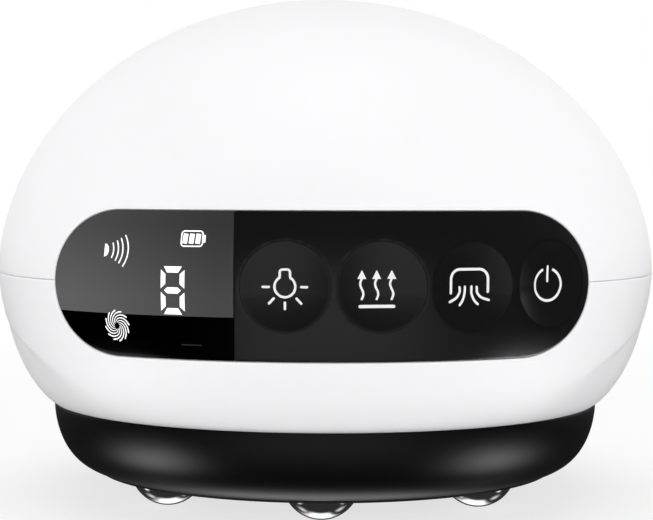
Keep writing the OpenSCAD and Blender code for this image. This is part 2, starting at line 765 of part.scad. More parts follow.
// Motor: a steel can with two magnets and an armature that turns in its two bearings
shaft_r = 1;
bearing_r = shaft_r + 0.05;
can_t = 0.8;
module motor_can() {
    color("lightgray") difference() {
        x_rod(motor_r, pump_x0, head_x, pump_y, pump_z);
        x_rod(motor_r - can_t, pump_x0 + 1.2, head_x - 1.2, pump_y, pump_z);
        x_rod(bearing_r, pump_x0 + 0.4, head_x + 1, pump_y, pump_z);
    }
}
module motor_magnets() {
    outer = motor_r - can_t;
    color("dimgray") difference() {
        x_rod(outer, pump_x0 + 5, head_x - 3, pump_y, pump_z);
        x_rod(outer - 2, pump_x0 + 4, head_x - 2, pump_y, pump_z);
        translate([pump_x0, pump_y - outer - 1, pump_z - 2.5]) cube([motor_len, 2 * outer + 2, 5]);
    }
}
core_r = motor_r - can_t - 2.6;
module motor_armature() {
    color("peru") {
        x_rod(shaft_r, pump_x0 + 0.5, head_x + 6.6, pump_y, pump_z);
        x_rod(2.4, pump_x0 + 2, pump_x0 + 4.6, pump_y, pump_z);
        difference() {
            x_rod(core_r, pump_x0 + 6, head_x - 4, pump_y, pump_z);
            for (a = [0, 120, 240]) translate([0, pump_y, pump_z]) rotate([a, 0, 0])
                translate([pump_x0 + 5, -0.6, 3]) cube([motor_len, 1.2, core_r]);
        }
    }
}
cam_r = 4.5;
module pump_eccentric() {
    color("white") difference() {
        x_rod(cam_r, head_x + 1.8, head_x + 5.8, pump_y, pump_z - eccentric);
        x_rod(shaft_r, head_x + 1, head_x + 7, pump_y, pump_z);
    }
}

// Pump head: the cam chamber, a rubber diaphragm with three cups, and the ported cover
chamber_len = 9;
rubber_t = 1.2;
cup_pitch = 6;
diaphragm_x = head_x + chamber_len;
cover_x = diaphragm_x + rubber_t;
module pump_head() {
    color([0.2, 0.2, 0.22]) difference() {
        x_rod(pump_r, head_x, diaphragm_x, pump_y, pump_z);
        x_rod(cam_r + eccentric + 0.6, head_x - 1, diaphragm_x + 1, pump_y, pump_z);
    }
}
module at_pump_cups() {
    for (a = [0, 120, 240]) translate([0, pump_y, pump_z]) rotate([a + 37, 0, 0])
        translate([0, cup_pitch, 0]) children();
}
module pump_diaphragm() {
    color("black") {
        x_rod(pump_r - 0.6, diaphragm_x, cover_x, pump_y, pump_z);
        at_pump_cups() x_rod(2.6, cover_x - 0.1, cover_x + 2, 0, 0);
    }
}
module pump_cover() {
    color([0.25, 0.25, 0.27]) difference() {
        union() {
            x_rod(pump_r, cover_x, head_end, pump_y, pump_z);
            x_rod(barb_r, head_end - 1, head_end + 5, tube_y, inlet_z);
            x_rod(barb_r, head_end - 1, head_end + 4, 2 * pump_y - tube_y, 2 * pump_z - inlet_z);
        }
        at_pump_cups() x_rod(2.7, cover_x - 1, cover_x + 2.5, 0, 0);
        x_rod(barb_r - 0.7, cover_x + 2, head_end + 6, tube_y, inlet_z);
        x_rod(barb_r - 0.7, cover_x + 2, head_end + 6, 2 * pump_y - tube_y, 2 * pump_z - inlet_z);
    }
}
module exhaust_muffler() {
    low = head_end + 0.6;
    color("gray") difference() {
        x_rod(2.6, low, low + 8, 2 * pump_y - tube_y, 2 * pump_z - inlet_z);
        x_rod(barb_r, low - 1, head_end + 4.1, 2 * pump_y - tube_y, 2 * pump_z - inlet_z);
    }
}
strap_x = pump_x0 + 10;
strap_t = 0.7;
foot_y = pump_y - motor_r - strap_t;
strap_screw_y = foot_y - 2.5;
module pump_strap() {
    color("black") difference() {
        union() {
            x_rod(motor_r + strap_t, strap_x, strap_x + 6, pump_y, pump_z);
            translate([strap_x, foot_y - 5, chassis_top]) cube([6, 6, 1.2]);
            translate([strap_x, foot_y, chassis_top]) cube([6, 1, pump_z - chassis_top]);
        }
        x_rod(motor_r, strap_x - 1, strap_x + 7, pump_y, pump_z);
        translate([strap_x + 3, strap_screw_y, 0]) flush_hole(chassis_top + 1.2);
    }
}

// Release valve: a ported block under a coil whose plunger lifts to let the air back in
valve_w = 11;
block_h = 6;
coil_r = 5.2;
coil_h = 9;
plunger_rod_r = 2;
coil_z = valve_z + block_h;
module valve_body() {
    color("white") translate([valve_x, tube_y, 0]) difference() {
        union() {
            translate([-valve_w / 2, -valve_w / 2, valve_z]) cube([valve_w, valve_w, block_h]);
            disc(barb_r, valve_z - 3.2, valve_z + 0.5);
        }
        disc(barb_r - 0.7, valve_z - 4.2, valve_z + 3);
        disc(plunger_rod_r + 0.1, valve_z + 2, coil_z + 1);
        translate([0, 0, valve_z + 3.4]) rotate([-90, 0, 0]) cylinder(r = 0.8, h = valve_w);
    }
}
module valve_coil() {
    color("saddlebrown") translate([valve_x, tube_y, 0]) difference() {
        union() {
            disc(coil_r, coil_z, coil_z + coil_h);
            translate([-valve_w / 2, -3.4, coil_z + coil_h - 0.2]) cube([valve_w, 6.8, 1]);
        }
        disc(plunger_rod_r + 0.1, coil_z - 1, coil_z + coil_h - 0.6);
    }
}
bore_top = coil_z + coil_h - 0.6;
spring_h = 4;
module valve_plunger() {
    color("gray") translate([valve_x, tube_y, 0]) {
        disc(plunger_rod_r, valve_z + 2.05, bore_top - spring_h);
        disc(plunger_rod_r - 1, bore_top - spring_h - 1, bore_top - valve_stroke - 0.1);
    }
}
module valve_spring() {
    color("silver") translate([valve_x, tube_y, 0])
        ring(plunger_rod_r - 0.2, plunger_rod_r - 0.9, bore_top - spring_h, bore_top);
}

// Battery cell in a cradle that holds its lower half and both ends
module battery_cell() {
    color("royalblue") {
        x_rod(cell_d / 2, -cell_len / 2, cell_len / 2, battery_y, battery_z);
    }
}
cradle_t = 1.2;
module battery_cradle() {
    r = cell_d / 2 + 0.1;
    half = cell_len / 2 + 0.2;
    color([0.16, 0.16, 0.17]) difference() {
        intersection() {
            x_rod(r + cradle_t, -half - cradle_t, half + cradle_t, battery_y, battery_z);
            translate([-shell_r, battery_y - cell_d / 2, 0]) cube([shell_d, cell_d, battery_z]);
        }
        x_rod(r, -half, half, battery_y, battery_z);
        for (x = [-20, 0, 20]) translate([x - 5, battery_y - r - 5, battery_z - 2]) cube([10, 2 * r + 10, 5]);
    }
}

// Main board over the pump and the battery, with its parts: [x, y, width, depth, height] of the
// chips and plugs and [x, y, radius, height] of the capacitors, as shares of the board's diameter
board_chips = [[-0.095, -0.317, 0.143, 0.143, 0.02], [0.127, -0.254, 0.111, 0.111, 0.053],
    [-0.143, 0.286, 0.127, 0.08, 0.066], [0.032, 0.286, 0.127, 0.08, 0.066]];
board_cans = [[-0.254, 0.095, 0.048, 0.111], [0.254, 0.127, 0.048, 0.095]];
board_sink = 0.1;
module main_board() {
    top = board_z + board_t;
    d = main_board_d;
    color("darkgreen") difference() {
        union() {
            disc(main_board_d / 2, board_z, top);
            for (c = board_chips) translate([c[0] * d, c[1] * d, top - board_sink])
                cube([c[2] * d, c[3] * d, c[4] * d]);
            for (c = board_cans) translate([c[0] * d, c[1] * d, 0])
                disc(c[2] * d, top - board_sink, top + c[3] * d);
        }
        at_posts(case_post_r, case_angles) disc(3.2, board_z - 1, top + 1);
        for (p = board_posts) translate([p[0], p[1], 0]) disc(screw_r + screw_gap, board_z - 1, top + 1);
    }
}

// Charging socket on its own small board, behind the slot at the back of the lower shell
charge_board_w = 18;
socket_len = 7.4;
module charge_board() {
    color("darkgreen") {
        translate([-charge_board_w / 2, charge_board_y, charge_z])
            cube([charge_board_w, charge_board_len, charge_board_t]);
        translate([-charge_board_w / 3, charge_board_y + 1, charge_z + charge_board_t - 0.1])
            cube([4, 4, 1.1]);
    }
}
module charging_socket() {
    color("silver") translate([0, socket_face_y - socket_len, socket_z]) rotate([-90, 0, 0]) {
        difference() {
            linear_extrude(height = socket_len) stadium(socket_w, socket_h);
            translate([0, 0, 1]) linear_extrude(height = socket_len)
                stadium(socket_w - 0.6, socket_h - 0.6);
        }
        translate([-3.3, -0.35, 0.5]) cube([6.6, 0.7, socket_len - 1.2]);
    }
}

// Screws: each kind is one group of separate, identical solids
module flush_hole(top) {
    disc(screw_r + screw_gap, top - 4, top + 1);
    translate([0, 0, top - flush_cone_t - 0.2])
        cylinder(r1 = screw_r, r2 = screw_head_r + screw_gap, h = flush_cone_t + 0.21);
}
module cap_screw(seat_z, up) {
    disc(screw_r, up ? seat_z : seat_z - long_screw, up ? seat_z + long_screw : seat_z);
    disc(screw_head_r, up ? seat_z - screw_head_t : seat_z, up ? seat_z : seat_z + screw_head_t);
}
module long_screws() {
    color("silver") {
        at_posts(case_post_r, case_angles) cap_screw(case_head_z, true);
        at_posts(base_screw_r, base_angles) cap_screw(base_head_z, true);
        for (p = board_posts) translate([p[0], p[1], 0]) cap_screw(board_z + board_t, false);
    }
}
module flush_screw_at(top) {
    disc(screw_r, top - flush_screw, top - 0.5);
    translate([0, 0, top - flush_cone_t]) cylinder(r1 = screw_r, r2 = screw_head_r, h = flush_cone_t);
}
module flush_screws() {
    color("silver") {
        at_posts(frame_post_r, frame_angles) flush_screw_at(chassis_top);
        translate([strap_x + 3, strap_screw_y, 0]) flush_screw_at(chassis_top + 1.2);
    }
}

upper_shell();
lower_shell();
display_lens();
key_plate();
panel_carrier();
light_button();
heat_button();
suction_button();
power_button();
key_switches();
key_flex_circuit();
key_backplate();
digit_display();
icon_light_guide();
display_board();
panel_ribbon();
base_ring();
bead_seat_ring();
base_gasket();
bead_1();
bead_2();
bead_3();
bead_4();
bead_5();
bead_6();
bead_7();
suction_cup();
cup_lip_seal();
heating_plate();
heater_film();
light_window();
lamp_board();
red_lamps();
filter_grille();
suction_filter();
air_manifold();
pressure_sensor();
pump_hose();
valve_hose();
chassis();
motor_can();
motor_magnets();
motor_armature();
pump_eccentric();
pump_head();
pump_diaphragm();
pump_cover();
pump_strap();
exhaust_muffler();
valve_body();
valve_coil();
valve_plunger();
valve_spring();
battery_cell();
battery_cradle();
charge_board();
charging_socket();
main_board();
long_screws();
flush_screws();
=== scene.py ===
import math

import bmesh
import bpy
from mathutils import Euler, Matrix, Vector


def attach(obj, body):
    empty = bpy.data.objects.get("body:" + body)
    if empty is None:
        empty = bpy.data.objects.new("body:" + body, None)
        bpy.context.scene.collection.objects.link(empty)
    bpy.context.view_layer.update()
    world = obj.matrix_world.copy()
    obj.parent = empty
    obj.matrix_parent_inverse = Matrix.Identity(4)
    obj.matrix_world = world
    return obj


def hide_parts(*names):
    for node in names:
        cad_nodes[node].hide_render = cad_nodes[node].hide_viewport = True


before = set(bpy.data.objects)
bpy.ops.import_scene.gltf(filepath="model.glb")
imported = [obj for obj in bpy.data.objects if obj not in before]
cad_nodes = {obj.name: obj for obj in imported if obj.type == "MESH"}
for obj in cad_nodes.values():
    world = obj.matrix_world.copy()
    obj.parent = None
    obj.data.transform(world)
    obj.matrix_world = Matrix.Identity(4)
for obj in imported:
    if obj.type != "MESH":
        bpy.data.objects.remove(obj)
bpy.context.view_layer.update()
MM = 0.001

# Camera
# A long lens a quarter of a metre in front of the massager, level with its shoulder and tipped
# slightly down, as in the photograph.
photo_w = 653
focal_px = 1735.8
optical_centre_px = 0.82
sensor_mm = 36
camera_place = Vector((4.04, -243.17, 41.4)) * MM
look_down = 0.0401
lean = -0.003
look_left = 0.0166
camera_data = bpy.data.cameras.new("camera")
camera_data.sensor_width = sensor_mm
camera_data.lens = focal_px / photo_w * sensor_mm
camera_data.shift_x = optical_centre_px / photo_w
camera_data.clip_start = 0.01
camera = bpy.data.objects.new("camera", camera_data)
camera.location = camera_place
camera.rotation_euler = Euler((math.pi / 2 - look_down, lean, look_left))
bpy.context.scene.collection.objects.link(camera)
bpy.context.scene.camera = camera

# Floor, room and studio lamps
# A plain white floor and backdrop, and a dim studio with white cards, which is what the black
# plastic and the steel show. Broad lamps in front, above, beside and behind light the shells.
bpy.context.scene.view_settings.view_transform = "Standard"


def new_material(name):
    """An empty node material and its Principled shader."""
    material = bpy.data.materials.new(name)
    material.use_nodes = True
    return material, material.node_tree.nodes["Principled BSDF"]


def finished_piece(name, bm, *materials, smooth_angle=35):
    """Makes a smooth-shaded object in metres of a bmesh drawn in millimetres."""
    bmesh.ops.scale(bm, vec=(MM, MM, MM), verts=bm.verts)
    mesh = bpy.data.meshes.new(name)
    bm.to_mesh(mesh)
    bm.free()
    for material in materials:
        mesh.materials.append(material)
    mesh.polygons.foreach_set("use_smooth", [True] * len(mesh.polygons))
    mesh.set_sharp_from_angle(angle=math.radians(smooth_angle))
    piece = bpy.data.objects.new(name, mesh)
    bpy.context.scene.collection.objects.link(piece)
    return piece


floor_r = 1500
glow_from = 50
glow_full = 300
near_glow = 0.72
floor_bm = bmesh.new()
bmesh.ops.create_circle(floor_bm, cap_ends=True, segments=64, radius=floor_r)
floor_white, floor_shader = new_material("floor_white")
floor_shader.inputs["Base Color"].default_value = (0.97, 0.97, 0.97, 1)
floor_shader.inputs["Roughness"].default_value = 0.7
floor_shader.inputs["Specular IOR Level"].default_value = 0.2
floor_nodes = floor_white.node_tree.nodes
floor_links = floor_white.node_tree.links
floor_place = floor_nodes.new("ShaderNodeTexCoord")
floor_reach = floor_nodes.new("ShaderNodeVectorMath")
floor_reach.operation = "LENGTH"
floor_links.new(floor_place.outputs["Object"], floor_reach.inputs[0])
floor_away = floor_nodes.new("ShaderNodeMapRange")
floor_away.interpolation_type = "SMOOTHSTEP"
floor_away.inputs["From Min"].default_value = glow_from * MM
floor_away.inputs["From Max"].default_value = glow_full * MM
floor_away.inputs["To Min"].default_value = near_glow
floor_links.new(floor_reach.outputs["Value"], floor_away.inputs["Value"])
floor_rays = floor_nodes.new("ShaderNodeLightPath")
floor_share = floor_nodes.new("ShaderNodeMath")
floor_share.operation = "MULTIPLY"
floor_links.new(floor_rays.outputs["Is Camera Ray"], floor_share.inputs[0])
floor_links.new(floor_away.outputs["Result"], floor_share.inputs[1])
floor_card = floor_nodes.new("ShaderNodeEmission")
floor_mix = floor_nodes.new("ShaderNodeMixShader")
floor_links.new(floor_share.outputs[0], floor_mix.inputs[0])
floor_links.new(floor_shader.outputs[0], floor_mix.inputs[1])
floor_links.new(floor_card.outputs[0], floor_mix.inputs[2])
floor_links.new(floor_mix.outputs[0], floor_nodes["Material Output"].inputs["Surface"])
floor = finished_piece("floor", floor_bm, floor_white)
floor.visible_glossy = False

# The room's white cards show in what is glossy: low behind, low at both sides of that, low in
# front, and two that run down the sides of the base
room_dim = 0.035
low_back_strength = 2.2
low_side_strength = 0.8
low_front_strength = 0.58
side_strength = 8.5
lamp_aim_z = 30
room = bpy.data.worlds.new("room")
room.use_nodes = True
bpy.context.scene.world = room
room_nodes = room.node_tree.nodes
room_links = room.node_tree.links
room_way = room_nodes.new("ShaderNodeTexCoord")
room_axes = room_nodes.new("ShaderNodeSeparateXYZ")
room_links.new(room_way.outputs["Generated"], room_axes.inputs[0])


def room_math(operation, *values):
    """One step of arithmetic on the room's directions."""
    step = room_nodes.new("ShaderNodeMath")
    step.operation = operation
    for socket, value in zip(step.inputs, values):
        if isinstance(value, (int, float)):
            socket.default_value = value
        else:
            room_links.new(value, socket)
    return step.outputs[0]


def room_ramp(value, start, end, low=0, high=1):
    """A soft step between two values of a direction."""
    ramp = room_nodes.new("ShaderNodeMapRange")
    ramp.interpolation_type = "SMOOTHSTEP"
    for socket, number in zip(("From Min", "From Max", "To Min", "To Max"), (start, end, low, high)):
        ramp.inputs[socket].default_value = number
    room_links.new(value, ramp.inputs["Value"])
    return ramp.outputs["Result"]


def room_card(strength, *masks):
    """A white card in the room: its strength where all its masks are 1."""
    card = strength
    for mask in masks:
        card = room_math("MULTIPLY", card, mask)
    return card


to_right, to_back, to_top = room_axes.outputs
sideways = room_math("ABSOLUTE", to_right)
low_back_card = room_card(low_back_strength, room_ramp(to_right, -0.4, -0.12),
                          room_ramp(to_right, 0.1, 0.3, 1, 0), room_ramp(to_back, 0.14, 0.4),
                          room_ramp(to_back, 0.62, 0.84, 1, 0), room_ramp(to_top, -0.5, -0.4, 1, 0))
low_side_cards = room_card(low_side_strength, room_ramp(sideways, 0.32, 0.44),
                           room_ramp(sideways, 0.46, 0.6, 1, 0), room_ramp(to_back, 0.2, 0.36),
                           room_ramp(to_back, 0.44, 0.56, 1, 0), room_ramp(to_top, -0.7, -0.6, 1, 0))
low_front_card = room_card(low_front_strength, room_ramp(to_back, -0.5, -0.3, 1, 0),
                           room_ramp(sideways, 0.25, 0.9, 1, 0), room_ramp(to_top, -0.1, 0.3, 1, 0),
                           room_ramp(to_top, -0.74, -0.52))
side_cards = room_card(side_strength, room_ramp(sideways, 0.6, 0.8),
                       room_ramp(to_back, -0.38, -0.2), room_ramp(to_back, 0.05, 0.3, 1, 0),
                       room_ramp(to_top, -0.56, -0.42, 1, 0), room_ramp(to_top, -0.88, -0.7))
room_level = room_dim
for card in (low_back_card, low_side_cards, low_front_card, side_cards):
    room_level = room_math("ADD", room_level, card)
room_light = room_nodes["Background"]
room_light.inputs["Color"].default_value = (1, 1, 1, 1)
room_links.new(room_level, room_light.inputs["Strength"])
white_card = room_nodes.new("ShaderNodeBackground")
white_card.inputs["Color"].default_value = (1, 1, 1, 1)
ray_kind = room_nodes.new("ShaderNodeLightPath")
room_mix = room_nodes.new("ShaderNodeMixShader")
# The white backdrop stands behind the massager, and what is glossy or clear shows it there
backdrop = room_math("MULTIPLY", room_ramp(to_back, 0.2, 0.4), room_ramp(to_top, -0.1, 0.05))
mirrors = room_math("MAXIMUM", ray_kind.outputs["Is Glossy Ray"],
                    ray_kind.outputs["Is Transmission Ray"])
shows_white = room_math("MAXIMUM", ray_kind.outputs["Is Camera Ray"],
                        room_math("MULTIPLY", mirrors, backdrop))
room_links.new(shows_white, room_mix.inputs[0])
room_links.new(room_light.outputs[0], room_mix.inputs[1])
room_links.new(white_card.outputs[0], room_mix.inputs[2])
room_links.new(room_mix.outputs[0], room_nodes["World Output"].inputs[0])


def soft_lamp(name, place, size, power):
    """A square area lamp, placed in millimetres, that faces the middle of the massager. It only
    lights: the backdrop and the room's cards are what shows in glossy surfaces."""
    data = bpy.data.lights.new(name, "AREA")
    data.shape = "SQUARE"
    data.size = size * MM
    data.energy = power
    lamp = bpy.data.objects.new(name, data)
    lamp.location = Vector(place) * MM
    aim = Vector((0, 0, lamp_aim_z)) - Vector(place)
    lamp.rotation_euler = aim.to_track_quat("-Z", "Y").to_euler()
    lamp.visible_glossy = False
    bpy.context.scene.collection.objects.link(lamp)


soft_lamp("front_lamp", (25, -800, 90), 500, 4.5)
soft_lamp("top_lamp", (0, 0, 900), 800, 5.3)
for side in (-1, 1):
    soft_lamp("side_lamp", (side * 800, -100, 300), 600, 2.9)
    soft_lamp("back_lamp", (side * 450, 700, 350), 500, 0.5)


# Upper shell
# A white dome moulded in one piece of satin ABS, with the upper half of the panel's opening in
# its front edge. It closes on the lower shell at a fine parting line.
shell_r = 45
dome_h = 37.3
seam_z = 30.3
crown_pow = 1.88
shoulder_pow = 2.03
foot_z = 12.5
foot_r = 37.55
lower_h = seam_z - foot_z
bowl_pow = 2.27
bowl_round = 1.29
bowl_top_r = shell_r - 0.57
rim_curl = 14.5
rim_z = seam_z - 0.4
rim_blend = 0.3
cheek_top_r = 44.95
cheek_pow = 2.1
cheek_round = 1.7
cheek_fade = (0.05, 0.62)
scoop_front = 26
scoop_corner = (6, 14.3)
scoop_top = 24.2
scoop_fade = 22
ridge_soft = 0.4
ridge_spread = 0.8
seam_gap = 0.03
shell_wall = 2
edge_break = 0.06
grain_height = 0.05
elsewhere = (99, None)
panel_w = 65.6
panel_h = 17.7


def rise(value, low, high):
    """0 below low, 1 above high, and a smooth rise between."""
    t = min(max((value - low) / (high - low), 0), 1)
    return t * t * (3 - 2 * t)


def bowl_r(z, top_r, power, roundness):
    """Radius of a bowl that rises from the base ring to a top radius at the seam."""
    t = min((seam_z - z) / lower_h, 1)
    return foot_r + (top_r - foot_r) * (1 - t ** power) ** (1 / roundness)


def skin_r(turn, z):
    """The body's outer radius at an angle from the front and a height."""
    if z >= seam_z:
        t = min((z - seam_z) / dome_h, 1)
        return shell_r * (1 - t ** crown_pow) ** (1 / shoulder_pow)
    bowl = bowl_r(z, bowl_top_r, bowl_pow, bowl_round)
    drop = min(max(rim_z - z, 0), rim_curl)
    rim = shell_r - rim_curl + math.sqrt(rim_curl ** 2 - drop ** 2)
    blend = rim_blend * min(drop, 1)
    side = (bowl + rim + math.hypot(bowl - rim, blend) - blend) / 2
    cheek = bowl_r(z, cheek_top_r, cheek_pow, cheek_round)
    share = rise(math.cos(turn), *cheek_fade) * cheek_share(-side * math.cos(turn), z)
    return side + max(cheek - side, 0) * share


def cheek_share(y, z):
    """1 on the full front cheek, 0 in the finger scoop behind it, with a ridge between."""
    if z <= scoop_corner[1]:
        edge = -scoop_front - y
    elif y >= -scoop_corner[0]:
        edge = z - scoop_top
    else:
        reach = Vector((scoop_front - scoop_corner[0], scoop_top - scoop_corner[1]))
        part = Vector(((-y - scoop_corner[0]) / reach.x, (z - scoop_corner[1]) / reach.y))
        size = max(part.length, 0.01)
        edge = (size - 1) * size / math.hypot(part.x / reach.x, part.y / reach.y)
    spread = ridge_soft + ridge_spread * max(scoop_fade - z, 0)
    return rise(edge, -spread, spread)


def skin_point(turn, z, sink=0):
    """A point of the outer skin, or a little under it."""
    r = skin_r(turn, z) - sink
    return Vector((r * math.sin(turn), -r * math.cos(turn), z))


def front_point(x, z, sink=0):
    """The point of the front skin that has this x and z."""
    turn = 0
    for _ in range(4):
        r = skin_r(turn, z) - sink
        turn = math.asin(max(-1, min(1, x / r)))
    return Vector((x, -r * math.cos(turn), z))


def steps(low, high, count):
    """Evenly spaced values from low to high."""
    return [low + (high - low) * i / count for i in range(count + 1)]


def bent_sheet(columns, rows, place):
    """A grid bent onto a surface. Columns and rows are the values that its lines stand for."""
    bm = bmesh.new()
    bmesh.ops.create_grid(bm, x_segments=len(columns) - 1, y_segments=len(rows) - 1, size=1)
    for vert in bm.verts:
        column = round((vert.co.x + 1) / 2 * (len(columns) - 1))
        row = round((vert.co.y + 1) / 2 * (len(rows) - 1))
        vert.co = place(columns[column], rows[row])
    bmesh.ops.remove_doubles(bm, verts=bm.verts, dist=0.0001)
    return bm


def cut_opening(bm, outline, refit):
    """Opens a sheet. The outline gives a point's distance outside the opening and the point of its
    edge that is nearest, in the two coordinates that refit turns back into a point of the sheet."""
    inside = {vert for vert in bm.verts if outline(vert.co)[0] < 0}
    cut = {face for vert in inside for face in vert.link_faces}
    border = {vert for face in cut for vert in face.verts} - inside
    bmesh.ops.delete(bm, geom=list(cut), context="FACES")
    for vert in border:
        if vert.is_valid:
            vert.co = refit(*outline(vert.co)[1])


def stadium_edge(u, v, w, h):
    """Distance of a point outside a lying stadium, and the nearest point of its edge."""
    centre = max(-(w - h) / 2, min((w - h) / 2, u))
    off = Vector((u - centre, v))
    size = max(off.length, 1e-6)
    return size - h / 2, (centre + off.x / size * h / 2, off.y / size * h / 2)


def give_wall(bm, wall, break_size=edge_break, sharp=55):
    """Gives a sheet a wall on its inner side and breaks the sharp edges."""
    bmesh.ops.recalc_face_normals(bm, faces=bm.faces)
    bmesh.ops.solidify(bm, geom=bm.faces[:], thickness=wall)
    bmesh.ops.recalc_face_normals(bm, faces=bm.faces)
    break_edges(bm, break_size, sharp)


def break_edges(bm, size, sharp=55, segments=2):
    """Rounds every edge whose two faces meet at more than the sharp angle."""
    edges = [edge for edge in bm.edges
             if len(edge.link_faces) == 2 and edge.calc_face_angle(0) > math.radians(sharp)]
    bmesh.ops.bevel(bm, geom=edges, offset=size, segments=segments, profile=0.5, affect="EDGES",
                    material=-1, clamp_overlap=True)


def panel_opening(co):
    """The opening that both shells leave for the panel."""
    if co.y > 0:
        return elsewhere
    return stadium_edge(co.x, co.z - seam_z, panel_w, panel_h)


# The columns of both shells stand closest across the panel and at the charging slot
half_way_round = (steps(0, 52, 90)[:-1] + steps(52, 110, 72)[:-1] + steps(110, 172, 31)[:-1]
                  + steps(172, 180, 16))
all_round = [math.radians(turn) for turn in
             [-turn for turn in reversed(half_way_round)] + half_way_round[1:]]


def surface_group():
    """A node group for moulded and worked surfaces: colour with a faint mottle, roughness that
    wanders a little, and a fine grain for the normal."""
    group = bpy.data.node_groups.new("worked_surface", "ShaderNodeTree")
    interface = group.interface
    for name, kind, value in (("Colour", "NodeSocketColor", (0.8, 0.8, 0.8, 1)),
                              ("Mottle", "NodeSocketFloat", 0.03),
                              ("Mottle Size", "NodeSocketFloat", 60),
                              ("Roughness", "NodeSocketFloat", 0.4),
                              ("Roughness Spread", "NodeSocketFloat", 0.05),
                              ("Grain Size", "NodeSocketFloat", 3000),
                              ("Grain Depth", "NodeSocketFloat", 0.05),
                              ("Stretch", "NodeSocketVector", (1, 1, 1))):
        socket = interface.new_socket(name=name, in_out="INPUT", socket_type=kind)
        socket.default_value = value
    interface.new_socket(name="Colour", in_out="OUTPUT", socket_type="NodeSocketColor")
    interface.new_socket(name="Roughness", in_out="OUTPUT", socket_type="NodeSocketFloat")
    interface.new_socket(name="Normal", in_out="OUTPUT", socket_type="NodeSocketVector")
    nodes = group.nodes
    links = group.links
    given = nodes.new("NodeGroupInput").outputs
    made = nodes.new("NodeGroupOutput").inputs
    place = nodes.new("ShaderNodeTexCoord")
    stretched = nodes.new("ShaderNodeVectorMath")
    stretched.operation = "MULTIPLY"
    links.new(place.outputs["Object"], stretched.inputs[0])
    links.new(given["Stretch"], stretched.inputs[1])
    broad = nodes.new("ShaderNodeTexNoise")
    broad.inputs["Detail"].default_value = 3
    links.new(stretched.outputs[0], broad.inputs["Vector"])
    links.new(given["Mottle Size"], broad.inputs["Scale"])
    fine = nodes.new("ShaderNodeTexNoise")
    fine.inputs["Detail"].default_value = 2
    links.new(stretched.outputs[0], fine.inputs["Vector"])
    links.new(given["Grain Size"], fine.inputs["Scale"])
    centred = nodes.new("ShaderNodeMath")
    centred.operation = "SUBTRACT"
    centred.inputs[1].default_value = 0.5
    links.new(broad.outputs["Fac"], centred.inputs[0])
    shade = nodes.new("ShaderNodeMath")
    shade.operation = "MULTIPLY_ADD"
    shade.inputs[2].default_value = 1
    links.new(centred.outputs[0], shade.inputs[0])
    links.new(given["Mottle"], shade.inputs[1])
    tinted = nodes.new("ShaderNodeVectorMath")
    tinted.operation = "SCALE"
    links.new(given["Colour"], tinted.inputs[0])
    links.new(shade.outputs[0], tinted.inputs["Scale"])
    links.new(tinted.outputs[0], made["Colour"])
    gloss = nodes.new("ShaderNodeMath")
    gloss.operation = "MULTIPLY_ADD"
    links.new(centred.outputs[0], gloss.inputs[0])
    links.new(given["Roughness Spread"], gloss.inputs[1])
    links.new(given["Roughness"], gloss.inputs[2])
    links.new(gloss.outputs[0], made["Roughness"])
    bump = nodes.new("ShaderNodeBump")
    bump.inputs["Distance"].default_value = grain_height * MM
    links.new(given["Grain Depth"], bump.inputs["Strength"])
    links.new(fine.outputs["Fac"], bump.inputs["Height"])
    links.new(bump.outputs[0], made["Normal"])
    return group


worked_surface = surface_group()


def worked_material(name, colour, roughness, metallic=0, specular=0.5, mottle=0.04, mottle_size=60,
                    spread=0.08, grain=0.1, grain_size=3000, stretch=(1, 1, 1)):
    """A material whose colour, roughness and normal come from the worked surface group."""
    material, shader = new_material(name)
    nodes = material.node_tree.nodes
    links = material.node_tree.links
    surface = nodes.new("ShaderNodeGroup")
    surface.node_tree = worked_surface
    surface.inputs["Colour"].default_value = (*colour, 1)
    for socket, value in (("Mottle", mottle), ("Mottle Size", mottle_size),
                          ("Roughness", roughness), ("Roughness Spread", spread),
                          ("Grain Size", grain_size), ("Grain Depth", grain)):
        surface.inputs[socket].default_value = value
    surface.inputs["Stretch"].default_value = stretch
    shader.inputs["Metallic"].default_value = metallic
    shader.inputs["Specular IOR Level"].default_value = specular
    links.new(surface.outputs["Colour"], shader.inputs["Base Color"])
    links.new(surface.outputs["Roughness"], shader.inputs["Roughness"])
    links.new(surface.outputs["Normal"], shader.inputs["Normal"])
    return material


shell_white = worked_material("shell_white", (0.857, 0.856, 0.868), 0.42, mottle=0.01, grain=0.04)
dome_levels = [seam_z + seam_gap] + [seam_z + dome_h * math.sin(math.radians(lift))
                                     for lift in steps(0.9, 90, 99)]
dome = bent_sheet(all_round, dome_levels, skin_point)
cut_opening(dome, panel_opening, lambda x, z: front_point(x, seam_z + z))
give_wall(dome, shell_wall)
upper_shell = finished_piece("upper_shell_skin", dome, shell_white)
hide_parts("upper_shell")
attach(upper_shell, "body")

# Lower shell
# The white bowl under the seam: a hollowed finger grip at its sides and back, a full cheek in
# front that ends in a soft ridge, and a slot at the back for the charging plug.
charge_z = 19.13
charge_slot_w = 9.34
charge_slot_h = 3.66


def charging_slot(co):
    """The slot for the charging plug, in the back of the lower shell."""
    if co.y < 0:
        return elsewhere
    return stadium_edge(co.x, co.z - charge_z, charge_slot_w, charge_slot_h)


def back_point(x, z):
    """The point of the back skin that has this x and z."""
    r = skin_r(math.pi, charge_z + z)
    return Vector((x, math.sqrt(r * r - x * x), charge_z + z))


bowl = bent_sheet(all_round, steps(foot_z + 0.04, seam_z - seam_gap, 44), skin_point)
cut_opening(bowl, panel_opening, lambda x, z: front_point(x, seam_z + z))
cut_opening(bowl, charging_slot, back_point)
give_wall(bowl, shell_wall)
lower_shell = finished_piece("lower_shell_skin", bowl, shell_white)
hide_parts("lower_shell")
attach(lower_shell, "body")

